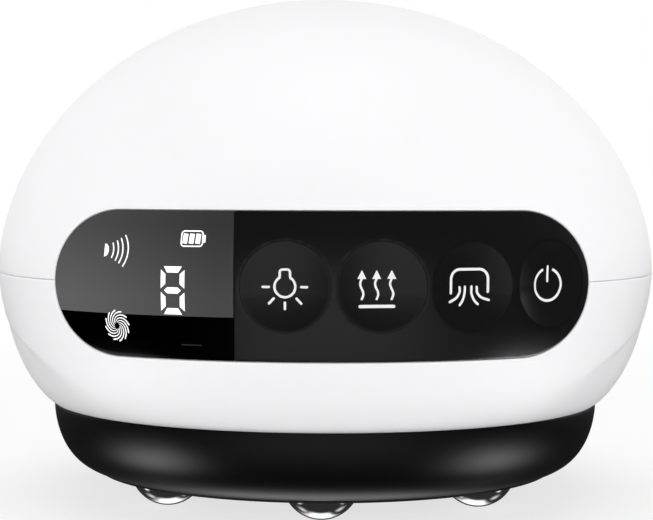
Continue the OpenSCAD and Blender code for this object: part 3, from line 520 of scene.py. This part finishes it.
# Display lens
# The smoked left part of the panel, moulded clear and painted black behind, so that it is as
# smooth as glass. A painted grey reflection lies round the upper symbols, above a straight edge.
panel_gap = 0.15
plate_sink = 0.05
plate_wall = 1.4
parting_x = -9.85
parting_gap = 0.05
# A painted reflection on the lens: grey above this height, lighter to the left and fading upwards
reflection_edge_z = 26.7
painted_reflection_x = (-30.5, -12.2)
painted_reflection_z = (28.7, 37.3)
painted_reflection_greys = (0.106, 0.058)
reflection_top_fade = 0.6
plate_half = panel_h / 2 - panel_gap
round_centre = (panel_w - panel_h) / 2


def plate_point(x, share):
    """A point of the panel plates. The share runs from -1 on the lower edge to 1 on the upper."""
    past = min(max(abs(x) - round_centre, 0), plate_half)
    lift = share * math.sqrt(plate_half ** 2 - past ** 2)
    return front_point(x, seam_z + lift, plate_sink)


def round_end(count):
    """Distances from the middle along a plate's round end, closer together towards its tip."""
    return [round_centre + plate_half * math.sin(math.pi / 2 * i / count) for i in range(1, count + 1)]


lens_columns = [-x for x in reversed(round_end(26))] + steps(-round_centre, parting_x - parting_gap, 32)
lens = bent_sheet(lens_columns, steps(-1, 1, 36), plate_point)
give_wall(lens, plate_wall, break_size=0.05)
lens_smoked_with_reflection = worked_material("lens_smoked_with_reflection", (0, 0, 0), 0.22, specular=0.03, grain=0.02)
lens_nodes = lens_smoked_with_reflection.node_tree.nodes
lens_links = lens_smoked_with_reflection.node_tree.links
lens_place = lens_nodes.new("ShaderNodeTexCoord")
lens_axes = lens_nodes.new("ShaderNodeSeparateXYZ")
lens_links.new(lens_place.outputs["Object"], lens_axes.inputs[0])


def reflection_ramp(axis, start, end, low, high):
    """A shade of the painted reflection that changes along one axis, between two places in mm."""
    ramp = lens_nodes.new("ShaderNodeMapRange")
    for socket, value in zip(("From Min", "From Max", "To Min", "To Max"),
                             (start * MM, end * MM, low, high)):
        ramp.inputs[socket].default_value = value
    lens_links.new(lens_axes.outputs[axis], ramp.inputs["Value"])
    return ramp.outputs["Result"]


# The painted reflection: a grey that is lighter to the left and fades upwards, only above its straight
# edge
reflection_grey = lens_nodes.new("ShaderNodeMath")
reflection_grey.operation = "MULTIPLY"
lens_links.new(reflection_ramp("X", *painted_reflection_x, *painted_reflection_greys), reflection_grey.inputs[0])
lens_links.new(reflection_ramp("Z", *painted_reflection_z, 1, reflection_top_fade), reflection_grey.inputs[1])
above_reflection_edge = lens_nodes.new("ShaderNodeMath")
above_reflection_edge.operation = "GREATER_THAN"
above_reflection_edge.inputs[1].default_value = reflection_edge_z * MM
lens_links.new(lens_axes.outputs["Z"], above_reflection_edge.inputs[0])
lens_reflection_grey = lens_nodes.new("ShaderNodeMath")
lens_reflection_grey.operation = "MULTIPLY"
lens_links.new(reflection_grey.outputs[0], lens_reflection_grey.inputs[0])
lens_links.new(above_reflection_edge.outputs[0], lens_reflection_grey.inputs[1])
lens_links.new(lens_reflection_grey.outputs[0], lens_nodes["Principled BSDF"].inputs["Base Color"])
display_lens = finished_piece("display_lens_plate", lens, lens_smoked_with_reflection)
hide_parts("display_lens")
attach(display_lens, "body")

# Key plate
# The satin black right part of the panel, moulded with a round bore for each key cap. Only a
# sliver of plate is left between two caps.
button_turns = [-5, 9.4, 23.8, 38.2]
bore_r = 5.34
plate_black = worked_material("plate_black", (0.005, 0.005, 0.0052), 0.26, specular=0.4, grain=0.25,
                              grain_size=5000)


def key_bore(turn):
    """The outline of one key's bore, square to the key's own direction."""
    turn = math.radians(turn)
    side = Vector((math.cos(turn), math.sin(turn), 0))

    def outline(co):
        if co.y > 0:
            return elsewhere
        off = Vector((co.dot(side), co.z - seam_z))
        size = max(off.length, 1e-6)
        return size - bore_r, (off.x / size * bore_r, off.y / size * bore_r)

    return outline


def key_point(turn, u, v, sink=0):
    """The point of the front skin at u across and v above a key's own middle."""
    turn = math.radians(turn)
    r = skin_r(0, seam_z + v) - sink
    across = Vector((math.cos(turn), math.sin(turn), 0))
    out = Vector((math.sin(turn), -math.cos(turn), 0))
    return out * math.sqrt(r * r - u * u) + across * u + Vector((0, 0, seam_z + v))


plate_columns = steps(parting_x + parting_gap, round_centre, 135) + round_end(32)
plate = bent_sheet(plate_columns, steps(-1, 1, 72), plate_point)
for turn in button_turns:
    cut_opening(plate, key_bore(turn),
                lambda u, v, turn=turn: key_point(turn, u, v, plate_sink))
give_wall(plate, plate_wall, break_size=0.03)
key_plate = finished_piece("key_plate_skin", plate, plate_black)
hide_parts("key_plate")
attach(key_plate, "body")

# Key caps
# Four dished caps of satin black plastic, flush with the plate at their rims. Each has a neck
# with two ears that hold it behind the plate, and a plunger that presses its switch.
cap_r = 5.3
dish_depth = 1.05
cap_back = 43.55
neck_r = 4.5
neck_in = 41.9
neck_out = 43.7
ear_size = (5, 0.8, 12.8)
ear_middle = 42.1
plunger_r = 1.2
plunger_end = 38.45
cap_black = worked_material("cap_black", (0.005, 0.005, 0.0052), 0.26, specular=0.4, grain=0.3,
                            grain_size=5000)


def dish_point(turn, u, v):
    """A point of a cap's finger dish."""
    return key_point(turn, u, v, plate_sink + dish_depth * (1 - (u * u + v * v) / cap_r ** 2))


def cap_point(turn, way, ring):
    """A point of a cap's skin: its dish, then its flat back. A ring has a radius and a side."""
    r, is_back = ring
    u = r * math.cos(way)
    v = r * math.sin(way)
    if not is_back:
        return dish_point(turn, u, v)
    turn = math.radians(turn)
    return Vector((cap_back * math.sin(turn) + u * math.cos(turn),
                   u * math.sin(turn) - cap_back * math.cos(turn), seam_z + v))


def add_rod(bm, r, near, far, turn):
    """Adds a closed rod that points outwards from the body's axis at panel height."""
    made = bmesh.ops.create_cone(bm, cap_ends=True, segments=32, radius1=r, radius2=r,
                                 depth=far - near)["verts"]
    bmesh.ops.transform(bm, verts=made, matrix=Matrix.Rotation(math.radians(90), 3, "X").to_4x4())
    bmesh.ops.translate(bm, verts=made, vec=(0, -(near + far) / 2, seam_z))
    bmesh.ops.rotate(bm, verts=made, cent=(0, 0, 0), matrix=Matrix.Rotation(turn, 3, "Z"))


cap_rings = [(0, False)] + [(r, False) for r in steps(0.5, cap_r, 16)] + [(cap_r, True), (0, True)]
for name, turn in zip(("light", "heat", "suction", "power"), button_turns):
    cap = bent_sheet(steps(0, 2 * math.pi, 72), cap_rings,
                     lambda way, ring: cap_point(turn, way, ring))
    bmesh.ops.recalc_face_normals(cap, faces=cap.faces)
    break_edges(cap, 0.04)
    angle = math.radians(turn)
    add_rod(cap, neck_r, neck_in, neck_out, angle)
    add_rod(cap, plunger_r, plunger_end, neck_in, angle)
    ear = bmesh.ops.create_cube(cap, size=1)["verts"]
    bmesh.ops.scale(cap, vec=ear_size, verts=ear)
    bmesh.ops.translate(cap, verts=ear, vec=(0, -ear_middle, seam_z))
    bmesh.ops.rotate(cap, verts=ear, cent=(0, 0, 0), matrix=Matrix.Rotation(angle, 3, "Z"))
    button = finished_piece(name + "_cap", cap, cap_black)
    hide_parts(name + "_button")
    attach(button, name + "_button")

# Symbols on the caps and behind the lens
# White pad-printed symbols on the key caps, and lit symbols that show through the lens. Each is a
# thin layer of ink laid on the curved surface that carries it.
ink_thick = 0.03
ink_lift = 0.01
ink_white = worked_material("ink_white", (0.82, 0.82, 0.82), 0.5, specular=0.3, grain=0.05)
glow_white = worked_material("glow_white", (0.8, 0.8, 0.8), 0.4, mottle=0.03, grain=0.04)
glow_shader = glow_white.node_tree.nodes["Principled BSDF"]
glow_shader.inputs["Emission Strength"].default_value = 0.45
glow_shader.inputs["Emission Color"].default_value = (1, 1, 1, 1)


def lay_stroke(bm, path, widths, rounded=True):
    """Lays a flat stroke along a path in the plane. Its width may change from point to point."""
    if isinstance(widths, (int, float)):
        widths = [widths] * len(path)
    path = [Vector(point) for point in path]
    kept = [i for i, point in enumerate(path) if i == 0 or (point - path[i - 1]).length > 0.005]
    path = [path[i] for i in kept]
    widths = [widths[i] for i in kept]
    closed = (path[0] - path[-1]).length < 0.001
    stations = []
    for i, point in enumerate(path):
        before = path[i - 1] if i > 0 else path[-2] if closed else point
        after = path[i + 1] if i < len(path) - 1 else path[1] if closed else point
        one = (point - before).normalized() if i > 0 or closed else (after - point).normalized()
        two = (after - point).normalized() if i < len(path) - 1 or closed else one
        along = (one + two).normalized()
        stations.append((point, along, widths[i] / 2 / max(along.dot(one), 0.5)))
    if rounded and not closed:
        stations = stroke_end(stations[0], -1)[::-1] + stations + stroke_end(stations[-1], 1)
    old = None
    for point, along, half in stations:
        side = Vector((-along.y, along.x)) * half
        pair = [bm.verts.new((*(point + side), 0)), bm.verts.new((*(point - side), 0))]
        if old:
            bm.faces.new((old[0], old[1], pair[1], pair[0]))
        old = pair


def stroke_end(station, way):
    """The narrowing stations of a stroke's half-round end."""
    point, along, half = station
    return [(point + along * way * half * math.sin(turn), along, max(half * math.cos(turn), 0.001))
            for turn in (0.4, 0.8, 1.15, 1.4, 1.55)]


def arc(centre, r, start, end, count=16, squash=1):
    """Points of an arc, in degrees from the right and anticlockwise."""
    return [(centre[0] + r * math.cos(math.radians(turn)),
             centre[1] + r * squash * math.sin(math.radians(turn)))
            for turn in steps(start, end, count)]


def lay_down(name, bm, place, material, body):
    """Bends flat strokes onto the surface that carries them and gives the ink its thickness."""
    bmesh.ops.remove_doubles(bm, verts=bm.verts, dist=0.004)
    bmesh.ops.subdivide_edges(bm, edges=[edge for edge in bm.edges if edge.calc_length() > 0.6],
                              cuts=2, use_grid_fill=True)
    flat = [(vert, vert.co.copy()) for vert in bm.verts]
    for vert, co in flat:
        vert.co = place(co.x, co.y)
    bmesh.ops.recalc_face_normals(bm, faces=bm.faces)
    bmesh.ops.solidify(bm, geom=bm.faces[:], thickness=ink_thick)
    bmesh.ops.recalc_face_normals(bm, faces=bm.faces)
    symbol = finished_piece(name, bm, material)
    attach(symbol, body)
    return symbol


def cap_ink(turn, aside=0):
    """Where a printed symbol lies in a cap's dish, and how far to the right of its centre."""
    def place(u, v):
        top = dish_point(turn, u + aside, v)
        out = Vector((math.sin(math.radians(turn)), -math.cos(math.radians(turn)), 0))
        return top + out * (ink_thick + ink_lift)
    return place


bulb = bmesh.new()
bulb_r = 1.21
neck_x = 0.6
neck_top = 2
lay_stroke(bulb, [*arc((0, 0), bulb_r, 122, 418, 40), (neck_x, 1.25), (neck_x, 1.6),
                  *arc((neck_x - 0.35, neck_top - 0.35), 0.35, 0, 90, 6),
                  *arc((0.35 - neck_x, neck_top - 0.35), 0.35, 90, 180, 6), (-neck_x, 1.6),
                  (-neck_x, 1.25), arc((0, 0), bulb_r, 122, 418)[0]], 0.28)
for start, end in (((-2.55, -0.03), (-1.86, -0.03)), ((1.9, -0.03), (2.58, -0.03)),
                   ((-1.82, -1.92), (-1.3, -1.36)), ((1.9, -1.92), (1.36, -1.36)),
                   ((0, -1.86), (0.02, -2.56))):
    lay_stroke(bulb, [start, end], 0.29)
lay_down("light_symbol", bulb, cap_ink(button_turns[0], -0.1), ink_white, "light_button")

warm_air = bmesh.new()
for x in (-2.47, -0.71, 1.05):
    wave = [(x - 0.19 * math.sin(t * 2 * math.pi), 0.95 - 2.35 * t) for t in steps(0, 1, 16)]
    lay_stroke(warm_air, wave, 0.26)
    lay_stroke(warm_air, [(x, 0.93), (x, 1.93)], [1.05, 0.04], rounded=False)
lay_stroke(warm_air, [(-2.68, -2.24), (1.28, -2.24)], 0.37)
lay_down("heat_symbol", warm_air, cap_ink(button_turns[1], 0.15), ink_white, "heat_button")


def smooth_path(points, count=6):
    """Rounds a short path by drawing a curve through its points."""
    ends = [Vector(points[0]) * 2 - Vector(points[1])] + [Vector(point) for point in points]
    ends.append(ends[-1] * 2 - ends[-2])
    path = []
    for a, b, c, d in zip(ends, ends[1:], ends[2:], ends[3:]):
        for t in steps(0, 1, count)[:-1]:
            path.append((b * 2 + (c - a) * t + (a * 2 - b * 5 + c * 4 - d) * t * t
                         + (b * 3 - a - c * 3 + d) * t ** 3) / 2)
    return path + [ends[-2]]


hand = bmesh.new()
lay_stroke(hand, [(-3.05, -0.8), (-3.05, 0.75), *arc((-1.9, 0.8), 1.15, 180, 90, 9),
                  (0.7, 1.95), *arc((0.7, 0.8), 1.15, 90, 0, 9), (1.85, -0.72)], 0.32)
for stroke in ([(-1.85, -0.15), (-1.84, -0.75), (-2.3, -1.38), (-3.2, -1.83)],
               [(-1.13, -0.1), (-1.16, -0.87), (-1.42, -1.65), (-1.86, -2.22)],
               [(-0.26, -0.1), (-0.23, -0.87), (0.03, -1.6), (0.53, -2.15)],
               [(0.43, -0.15), (0.52, -0.82), (1.0, -1.36), (1.95, -1.7)]):
    lay_stroke(hand, smooth_path(stroke), 0.29)
lay_down("suction_symbol", hand, cap_ink(button_turns[2], 0.28), ink_white, "suction_button")

switch_mark = bmesh.new()
lay_stroke(switch_mark, arc((0, -0.12), 2.15, 114, 426, 44, squash=0.9), 0.31)
lay_stroke(switch_mark, [(0, 0.32), (0, 2.05)], 0.31)
lay_down("power_symbol", switch_mark, cap_ink(button_turns[3], 0.05), ink_white, "power_button")


def lens_ink(turn, z):
    """Where a lit symbol lies on the lens, unrolled about its middle."""
    def place(u, v):
        way = math.radians(turn) + u / shell_r
        out = Vector((math.sin(way), -math.cos(way), 0))
        return skin_point(way, seam_z + z + v, plate_sink) + out * (ink_thick + ink_lift)
    return place


level_mark = bmesh.new()
cone_u = -4.37
lay_stroke(level_mark, [(-1.96 + 0.7 * t, 0) for t in steps(0, 1, 8)],
           [max(1.54 * math.sqrt(1 - t * t), 0.04) for t in steps(0, 1, 8)], rounded=False)
for reach, span in ((3.86, 19.5), (4.6, 22), (5.3, 24.5), (6.1, 27)):
    lay_stroke(level_mark, arc((cone_u, 0), reach, -span, span * 0.95, 16, squash=0.667), 0.17)
lay_down("level_symbol", level_mark, lens_ink(-32.75, 3.92), glow_white, "body")

battery_mark = bmesh.new()
half_u = 1.38
half_v = 0.88
corner = 0.38
box_path = []
for u, v, start in ((1, 1, 90), (1, -1, 0), (-1, -1, -90), (-1, 1, -180)):
    box_path += arc((u * (half_u - corner), v * (half_v - corner)), corner, start, start - 90, 5)
lay_stroke(battery_mark, box_path + box_path[:1], 0.16)
for u in (-0.87, -0.04, 0.79):
    lay_stroke(battery_mark, [(u - 0.05, -0.58), (u + 0.05, 0.58)], 0.62, rounded=False)
lay_stroke(battery_mark, [(half_u + 0.08, 0), (half_u + 0.36, 0)], [0.95, 0.85], rounded=False)
lay_down("battery_symbol", battery_mark, lens_ink(-19.5, 5.45), glow_white, "body")

digit = bmesh.new()
digit_u = 1.56
digit_v = 2.81
bar = 0.74
post = 0.62
post_middle = 1.32
for side in (-1, 1):
    lay_stroke(digit, [(0, side * digit_v), (0, side * (digit_v - bar))], [2.4, 1.45], rounded=False)
    for middle in (-post_middle, post_middle):
        lay_stroke(digit, [(side * digit_u, middle), (side * (digit_u - post), middle)],
                   [2.2, 1.15], rounded=False)
lay_stroke(digit, [(-1.1, 0), (-0.68, 0), (0.68, 0), (1.1, 0)], [0.04, bar, bar, 0.04], rounded=False)
lay_down("digit_symbol", digit, lens_ink(-22.4, -0.6), glow_white, "body")

fan_mark = bmesh.new()
blade_count = 12
blade_sweep = 105
blade_first = 6
hub_r = 0.42
blade_reach = 1.42
for i in range(blade_count):
    blade = []
    for t in steps(0, 1, 9):
        way = math.radians(360 / blade_count * i + blade_first + blade_sweep * (1 - t))
        r = hub_r + blade_reach * t
        blade.append((r * math.cos(way), r * math.sin(way)))
    lay_stroke(fan_mark, blade, [0.06 + 0.1 * t for t in steps(0, 1, 9)])
lay_down("fan_symbol", fan_mark, lens_ink(-32.75, -5.05), glow_white, "body")

idle_grey = worked_material("idle_grey", (0.012, 0.012, 0.013), 0.4, mottle=0.05, grain=0.04)
idle_mark = bmesh.new()
lay_stroke(idle_mark, [(-1.25, 0), (1.25, 0)], 0.14)
lay_down("idle_symbol", idle_mark, lens_ink(-19.6, -6.95), idle_grey, "body")

# Base ring
# A deep ring of matt black plastic under the bowl, with a captive opening for each bead and
# three recessed screws in its flat underside.
base_z = 3
base_pow = 1.853
base_round = 3.32
base_turn_r = foot_r - 10.32
flat_r = 31.5
edge_r = 31.8
edge_z = 3.35
base_bore_r = 19.6
base_wall = 1
bead_count = 7
bead_ring_r = 26
bead_hole_r = 4.8
screw_ring_r = 27.5
screw_hole_r = 2.5
screw_turns = [360 / bead_count / 2, 360 / bead_count * 2.5, -360 / bead_count * 1.5]


def base_r(z):
    """Radius of the base ring at a height."""
    t = (foot_z - z) / (foot_z - base_z)
    return base_turn_r + (foot_r - base_turn_r) * (1 - t ** base_pow) ** (1 / base_round)


def ring_place(centre_r, turn):
    """A place on a circle about the body's axis, at an angle from the front."""
    turn = math.radians(turn)
    return Vector((centre_r * math.sin(turn), -centre_r * math.cos(turn)))


def round_hole(centre, r):
    """The outline of a round hole in the flat underside."""
    def outline(co):
        if co.z > base_z + 0.01:
            return elsewhere
        off = Vector((co.x, co.y)) - centre
        size = max(off.length, 1e-6)
        return size - r, tuple(centre + off / size * r)
    return outline


def flat_point(x, y):
    """A point of the flat underside."""
    return Vector((x, y, base_z))


ring_levels = [foot_z - (foot_z - edge_z) * math.sin(math.radians(lift)) for lift in steps(0, 90, 40)]
ring_profile = [(base_bore_r, z) for z in steps(foot_z - 1, base_z + 1, 4)]
ring_profile += [(r, base_z) for r in steps(base_bore_r, flat_r, 40)]
ring_profile += [(base_r(z) if z > edge_z else edge_r, z) for z in reversed(ring_levels)]
ring_turns = [math.radians(turn) for turn in steps(-180, 180, 504)]
ring = bent_sheet(ring_turns, list(range(len(ring_profile))),
                  lambda turn, i: Vector((ring_profile[i][0] * math.sin(turn),
                                          -ring_profile[i][0] * math.cos(turn), ring_profile[i][1])))
for i in range(bead_count):
    cut_opening(ring, round_hole(ring_place(bead_ring_r, 360 / bead_count * i), bead_hole_r), flat_point)
for turn in screw_turns:
    cut_opening(ring, round_hole(ring_place(screw_ring_r, turn), screw_hole_r), flat_point)
give_wall(ring, base_wall, break_size=0.1)
base_black = worked_material("base_black", (0.0025, 0.0025, 0.0027), 0.38, specular=0.25, grain=0.15,
                             grain_size=2500)
base_ring = finished_piece("base_ring_skin", ring, base_black)
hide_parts("base_ring")
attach(base_ring, "body")

# Beads
# Seven stock bearing balls, ground and polished, that roll in sockets round the suction cup.
bead_r = 5
bead_steel = worked_material("bead_steel", (0.72, 0.72, 0.73), 0.11, metallic=1, mottle=0.03,
                             mottle_size=150, spread=0.03, grain=0.01)
for i in range(bead_count):
    ball = bmesh.new()
    bmesh.ops.create_uvsphere(ball, u_segments=96, v_segments=64, radius=bead_r)
    bmesh.ops.translate(ball, verts=ball.verts, vec=(*ring_place(bead_ring_r, 360 / bead_count * i),
                                                     bead_r))
    bead = finished_piece("bead_ball_%d" % (i + 1), ball, bead_steel)
    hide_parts("bead_%d" % (i + 1))
    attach(bead, "bead_%d" % (i + 1))

# Suction cup and lip seal
# A moulded cup whose flange sits on the floor of the bowl, and the soft ring bonded round its
# mouth, which rolls over at its edge so that it seals on skin.
cup_corners = [(19.4, 3.4, 0.3), (19.4, 14.3, 0), (24, 14.3, 0.2), (24, 15.8, 0.3), (19.4, 15.8, 0),
               (19.4, 16, 0), (17.8, 16, 0), (17.8, 14.5, 0), (15.5, 14.5, 0.15), (15.5, 13.1, 0.4),
               (17.8, 13.1, 0.3), (17.8, 3.4, 0)]
seal_corners = [(19.3, 2.2, 0.5), (19.3, 3.4, 0), (17.8, 3.4, 0), (17.8, 7.4, 0), (17.1, 7.4, 0.3),
                (17.1, 3.3, 0.6), (17.9, 2.2, 0.35)]


def turned_ring(corners):
    """A ring turned from a closed profile. Each corner has a radius, a height and a rounding."""
    profile = []
    for i, (r, z, rounding) in enumerate(corners):
        here = Vector((r, 0, z))
        if rounding == 0:
            profile.append(here)
            continue
        ends = [Vector((other[0], 0, other[1])) - here
                for other in (corners[i - 1], corners[(i + 1) % len(corners)])]
        start, end = [here + way.normalized() * rounding for way in ends]
        profile += [start * (1 - t) ** 2 + here * 2 * t * (1 - t) + end * t ** 2
                    for t in steps(0, 1, 5)]
    bm = bmesh.new()
    verts = [bm.verts.new(point) for point in profile]
    edges = [bm.edges.new((verts[i - 1], verts[i])) for i in range(len(verts))]
    bmesh.ops.spin(bm, geom=verts + edges, cent=(0, 0, 0), axis=(0, 0, 1), angle=2 * math.pi,
                   steps=160, use_merge=True)
    bmesh.ops.recalc_face_normals(bm, faces=bm.faces)
    return bm


cup_black = worked_material("cup_black", (0.012, 0.012, 0.0125), 0.36, grain=0.2)
seal_grey = worked_material("seal_grey", (0.045, 0.045, 0.047), 0.6, specular=0.35, mottle=0.08,
                            grain=0.5, grain_size=4000)
for name, corners, material, slot in (("suction_cup", cup_corners, cup_black, "cup_black"),
                                      ("cup_lip_seal", seal_corners, seal_grey, "soft_rubber")):
    turned = finished_piece(name + "_ring", turned_ring(corners), material)
    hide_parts(name)
    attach(turned, "body")

# Screws
# Zinc-plated steel screws with a hexagon socket and a rolled thread. The long ones clamp the
# shells, the base and the main board. The ones with a cone head lie flush in the chassis.
shank_r = 1.2
thread_pitch = 0.8
thread_depth = 0.15
socket_half = 1
socket_deep = 0.8
point_r = 0.8
point_h = 0.5
pan_head = [(2.05, 0), (2.24, 0.06), (2.3, 0.25), (2.3, 1.5)]
cone_head = [(2.22, 0), (2.3, 0.05)]


def hexagon_r(turn):
    """Radius of the hexagon socket at an angle."""
    return socket_half / math.cos((turn + math.pi / 6) % (math.pi / 3) - math.pi / 6)


def add_screws(name, head, thread_start, length, places):
    """Like screws in one piece. A place has x, y, the height of the head's face and its side."""
    rings = [(0, socket_deep), (hexagon_r, socket_deep), (hexagon_r, 0), *head]
    thread_rings = round(length / thread_pitch * 4)
    rings += [(None, z) for z in steps(thread_start, length - point_h, thread_rings)]
    rings += [(point_r, length), (0, length)]

    def screw_point(turn, i):
        r, z = rings[i]
        if r is None:
            wave = (z / thread_pitch - turn / (2 * math.pi)) % 1
            r = shank_r - thread_depth * abs(2 * wave - 1)
        elif r is hexagon_r:
            r = hexagon_r(turn)
        return Vector((r * math.cos(turn), r * math.sin(turn), z))

    bm = bent_sheet(steps(0, 2 * math.pi, 36), list(range(len(rings))), screw_point)
    bmesh.ops.recalc_face_normals(bm, faces=bm.faces)
    count = len(bm.verts)
    first = bm.verts[:] + bm.edges[:] + bm.faces[:]
    for x, y, z, up in places:
        copied = bmesh.ops.duplicate(bm, geom=first)["geom"]
        verts = [part for part in copied if isinstance(part, bmesh.types.BMVert)]
        if not up:
            bmesh.ops.rotate(bm, verts=verts, cent=(0, 0, 0), matrix=Matrix.Rotation(math.pi, 3, "X"))
        bmesh.ops.translate(bm, verts=verts, vec=(x, y, z))
    bmesh.ops.delete(bm, geom=first[:count], context="VERTS")
    screws = finished_piece(name + "_set", bm, screw_zinc)
    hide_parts(name)
    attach(screws, "body")


screw_zinc = worked_material("screw_zinc", (0.5, 0.5, 0.51), 0.26, metallic=1, mottle=0.1, grain=0.1)
case_post_r = 33
case_turns = (-62, 62, -155, 155)
case_face_z = 22.8
base_face_z = 3.4
board_posts = ((-23.5, -13.6), (23.5, -13.6), (-8, 28.3), (8, 28.3))
board_face_z = 52.6
chassis_post_r = 32
chassis_turns = (-35, 35, -115, 115)
chassis_face_z = 25
strap_place = (-8, -18.7, 26.2, False)
case_places = [(*ring_place(case_post_r, turn), case_face_z, True) for turn in case_turns]
base_places = [(*ring_place(screw_ring_r, turn), base_face_z, True) for turn in screw_turns]
board_places = [(x, y, board_face_z, False) for x, y in board_posts]
add_screws("long_screws", pan_head, 1.5, 13.5, case_places + base_places + board_places)
flush_places = [(*ring_place(chassis_post_r, turn), chassis_face_z, False) for turn in chassis_turns]
add_screws("flush_screws", cone_head, 1.1, 8, [*flush_places, strap_place])

# Inner parts
# Everything behind the shells keeps the shape of its solid and gets the finish of its material.
inner_finishes = [
    (("panel_carrier", "key_backplate", "icon_light_guide", "pump_head", "pump_cover", "pump_strap",
      "filter_grille", "battery_cradle"), "frame_grey",
     dict(colour=(0.035, 0.035, 0.037), roughness=0.5, grain=0.3)),
    (("chassis", "air_manifold", "valve_body"), "frame_light",
     dict(colour=(0.62, 0.62, 0.6), roughness=0.5, grain=0.2)),
    (("bead_seat_ring", "pump_eccentric"), "slip_plastic",
     dict(colour=(0.75, 0.74, 0.68), roughness=0.3, grain=0.1)),
    (("base_gasket", "pump_diaphragm", "pressure_sensor"), "soft_rubber",
     dict(colour=(0.05, 0.05, 0.052), roughness=0.7, grain=0.5)),
    (("pump_hose", "valve_hose"), "clear_hose", dict(colour=(0.7, 0.7, 0.68), roughness=0.3)),
    (("heating_plate",), "plate_metal",
     dict(colour=(0.6, 0.6, 0.61), roughness=0.3, metallic=1, stretch=(1, 12, 1), grain=0.4)),
    (("heater_film",), "film_amber", dict(colour=(0.5, 0.2, 0.03), roughness=0.25)),
    (("light_window",), "red_window", dict(colour=(0.45, 0.02, 0.02), roughness=0.15)),
    (("red_lamps",), "lamp_red", dict(colour=(0.7, 0.05, 0.04), roughness=0.2)),
    (("lamp_board",), "board_white", dict(colour=(0.75, 0.75, 0.73), roughness=0.4)),
    (("display_board", "main_board", "charge_board"), "board_green",
     dict(colour=(0.01, 0.12, 0.04), roughness=0.35, mottle=0.3, mottle_size=400)),
    (("suction_filter", "exhaust_muffler"), "sponge_grey",
     dict(colour=(0.2, 0.2, 0.2), roughness=0.95, grain=1, grain_size=1500)),
    (("digit_display",), "digit_grey", dict(colour=(0.35, 0.35, 0.36), roughness=0.4)),
    (("key_flex_circuit", "panel_ribbon"), "ribbon_tan", dict(colour=(0.5, 0.22, 0.04), roughness=0.3)),
    (("motor_can", "charging_socket", "valve_spring", "valve_plunger", "key_switches"), "part_steel",
     dict(colour=(0.55, 0.55, 0.56), roughness=0.28, metallic=1, mottle=0.1)),
    (("motor_magnets",), "magnet_grey", dict(colour=(0.08, 0.08, 0.085), roughness=0.6, grain=0.6)),
    (("motor_armature", "valve_coil"), "winding_copper",
     dict(colour=(0.6, 0.25, 0.1), roughness=0.35, metallic=0.8, mottle=0.4, mottle_size=900)),
    (("battery_cell",), "cell_blue", dict(colour=(0.02, 0.08, 0.4), roughness=0.3)),
]
for names, slot, finish in inner_finishes:
    material = worked_material(slot + "_finish", **finish)
    for name in names:
        for place in cad_nodes[name].material_slots:
            place.material = material
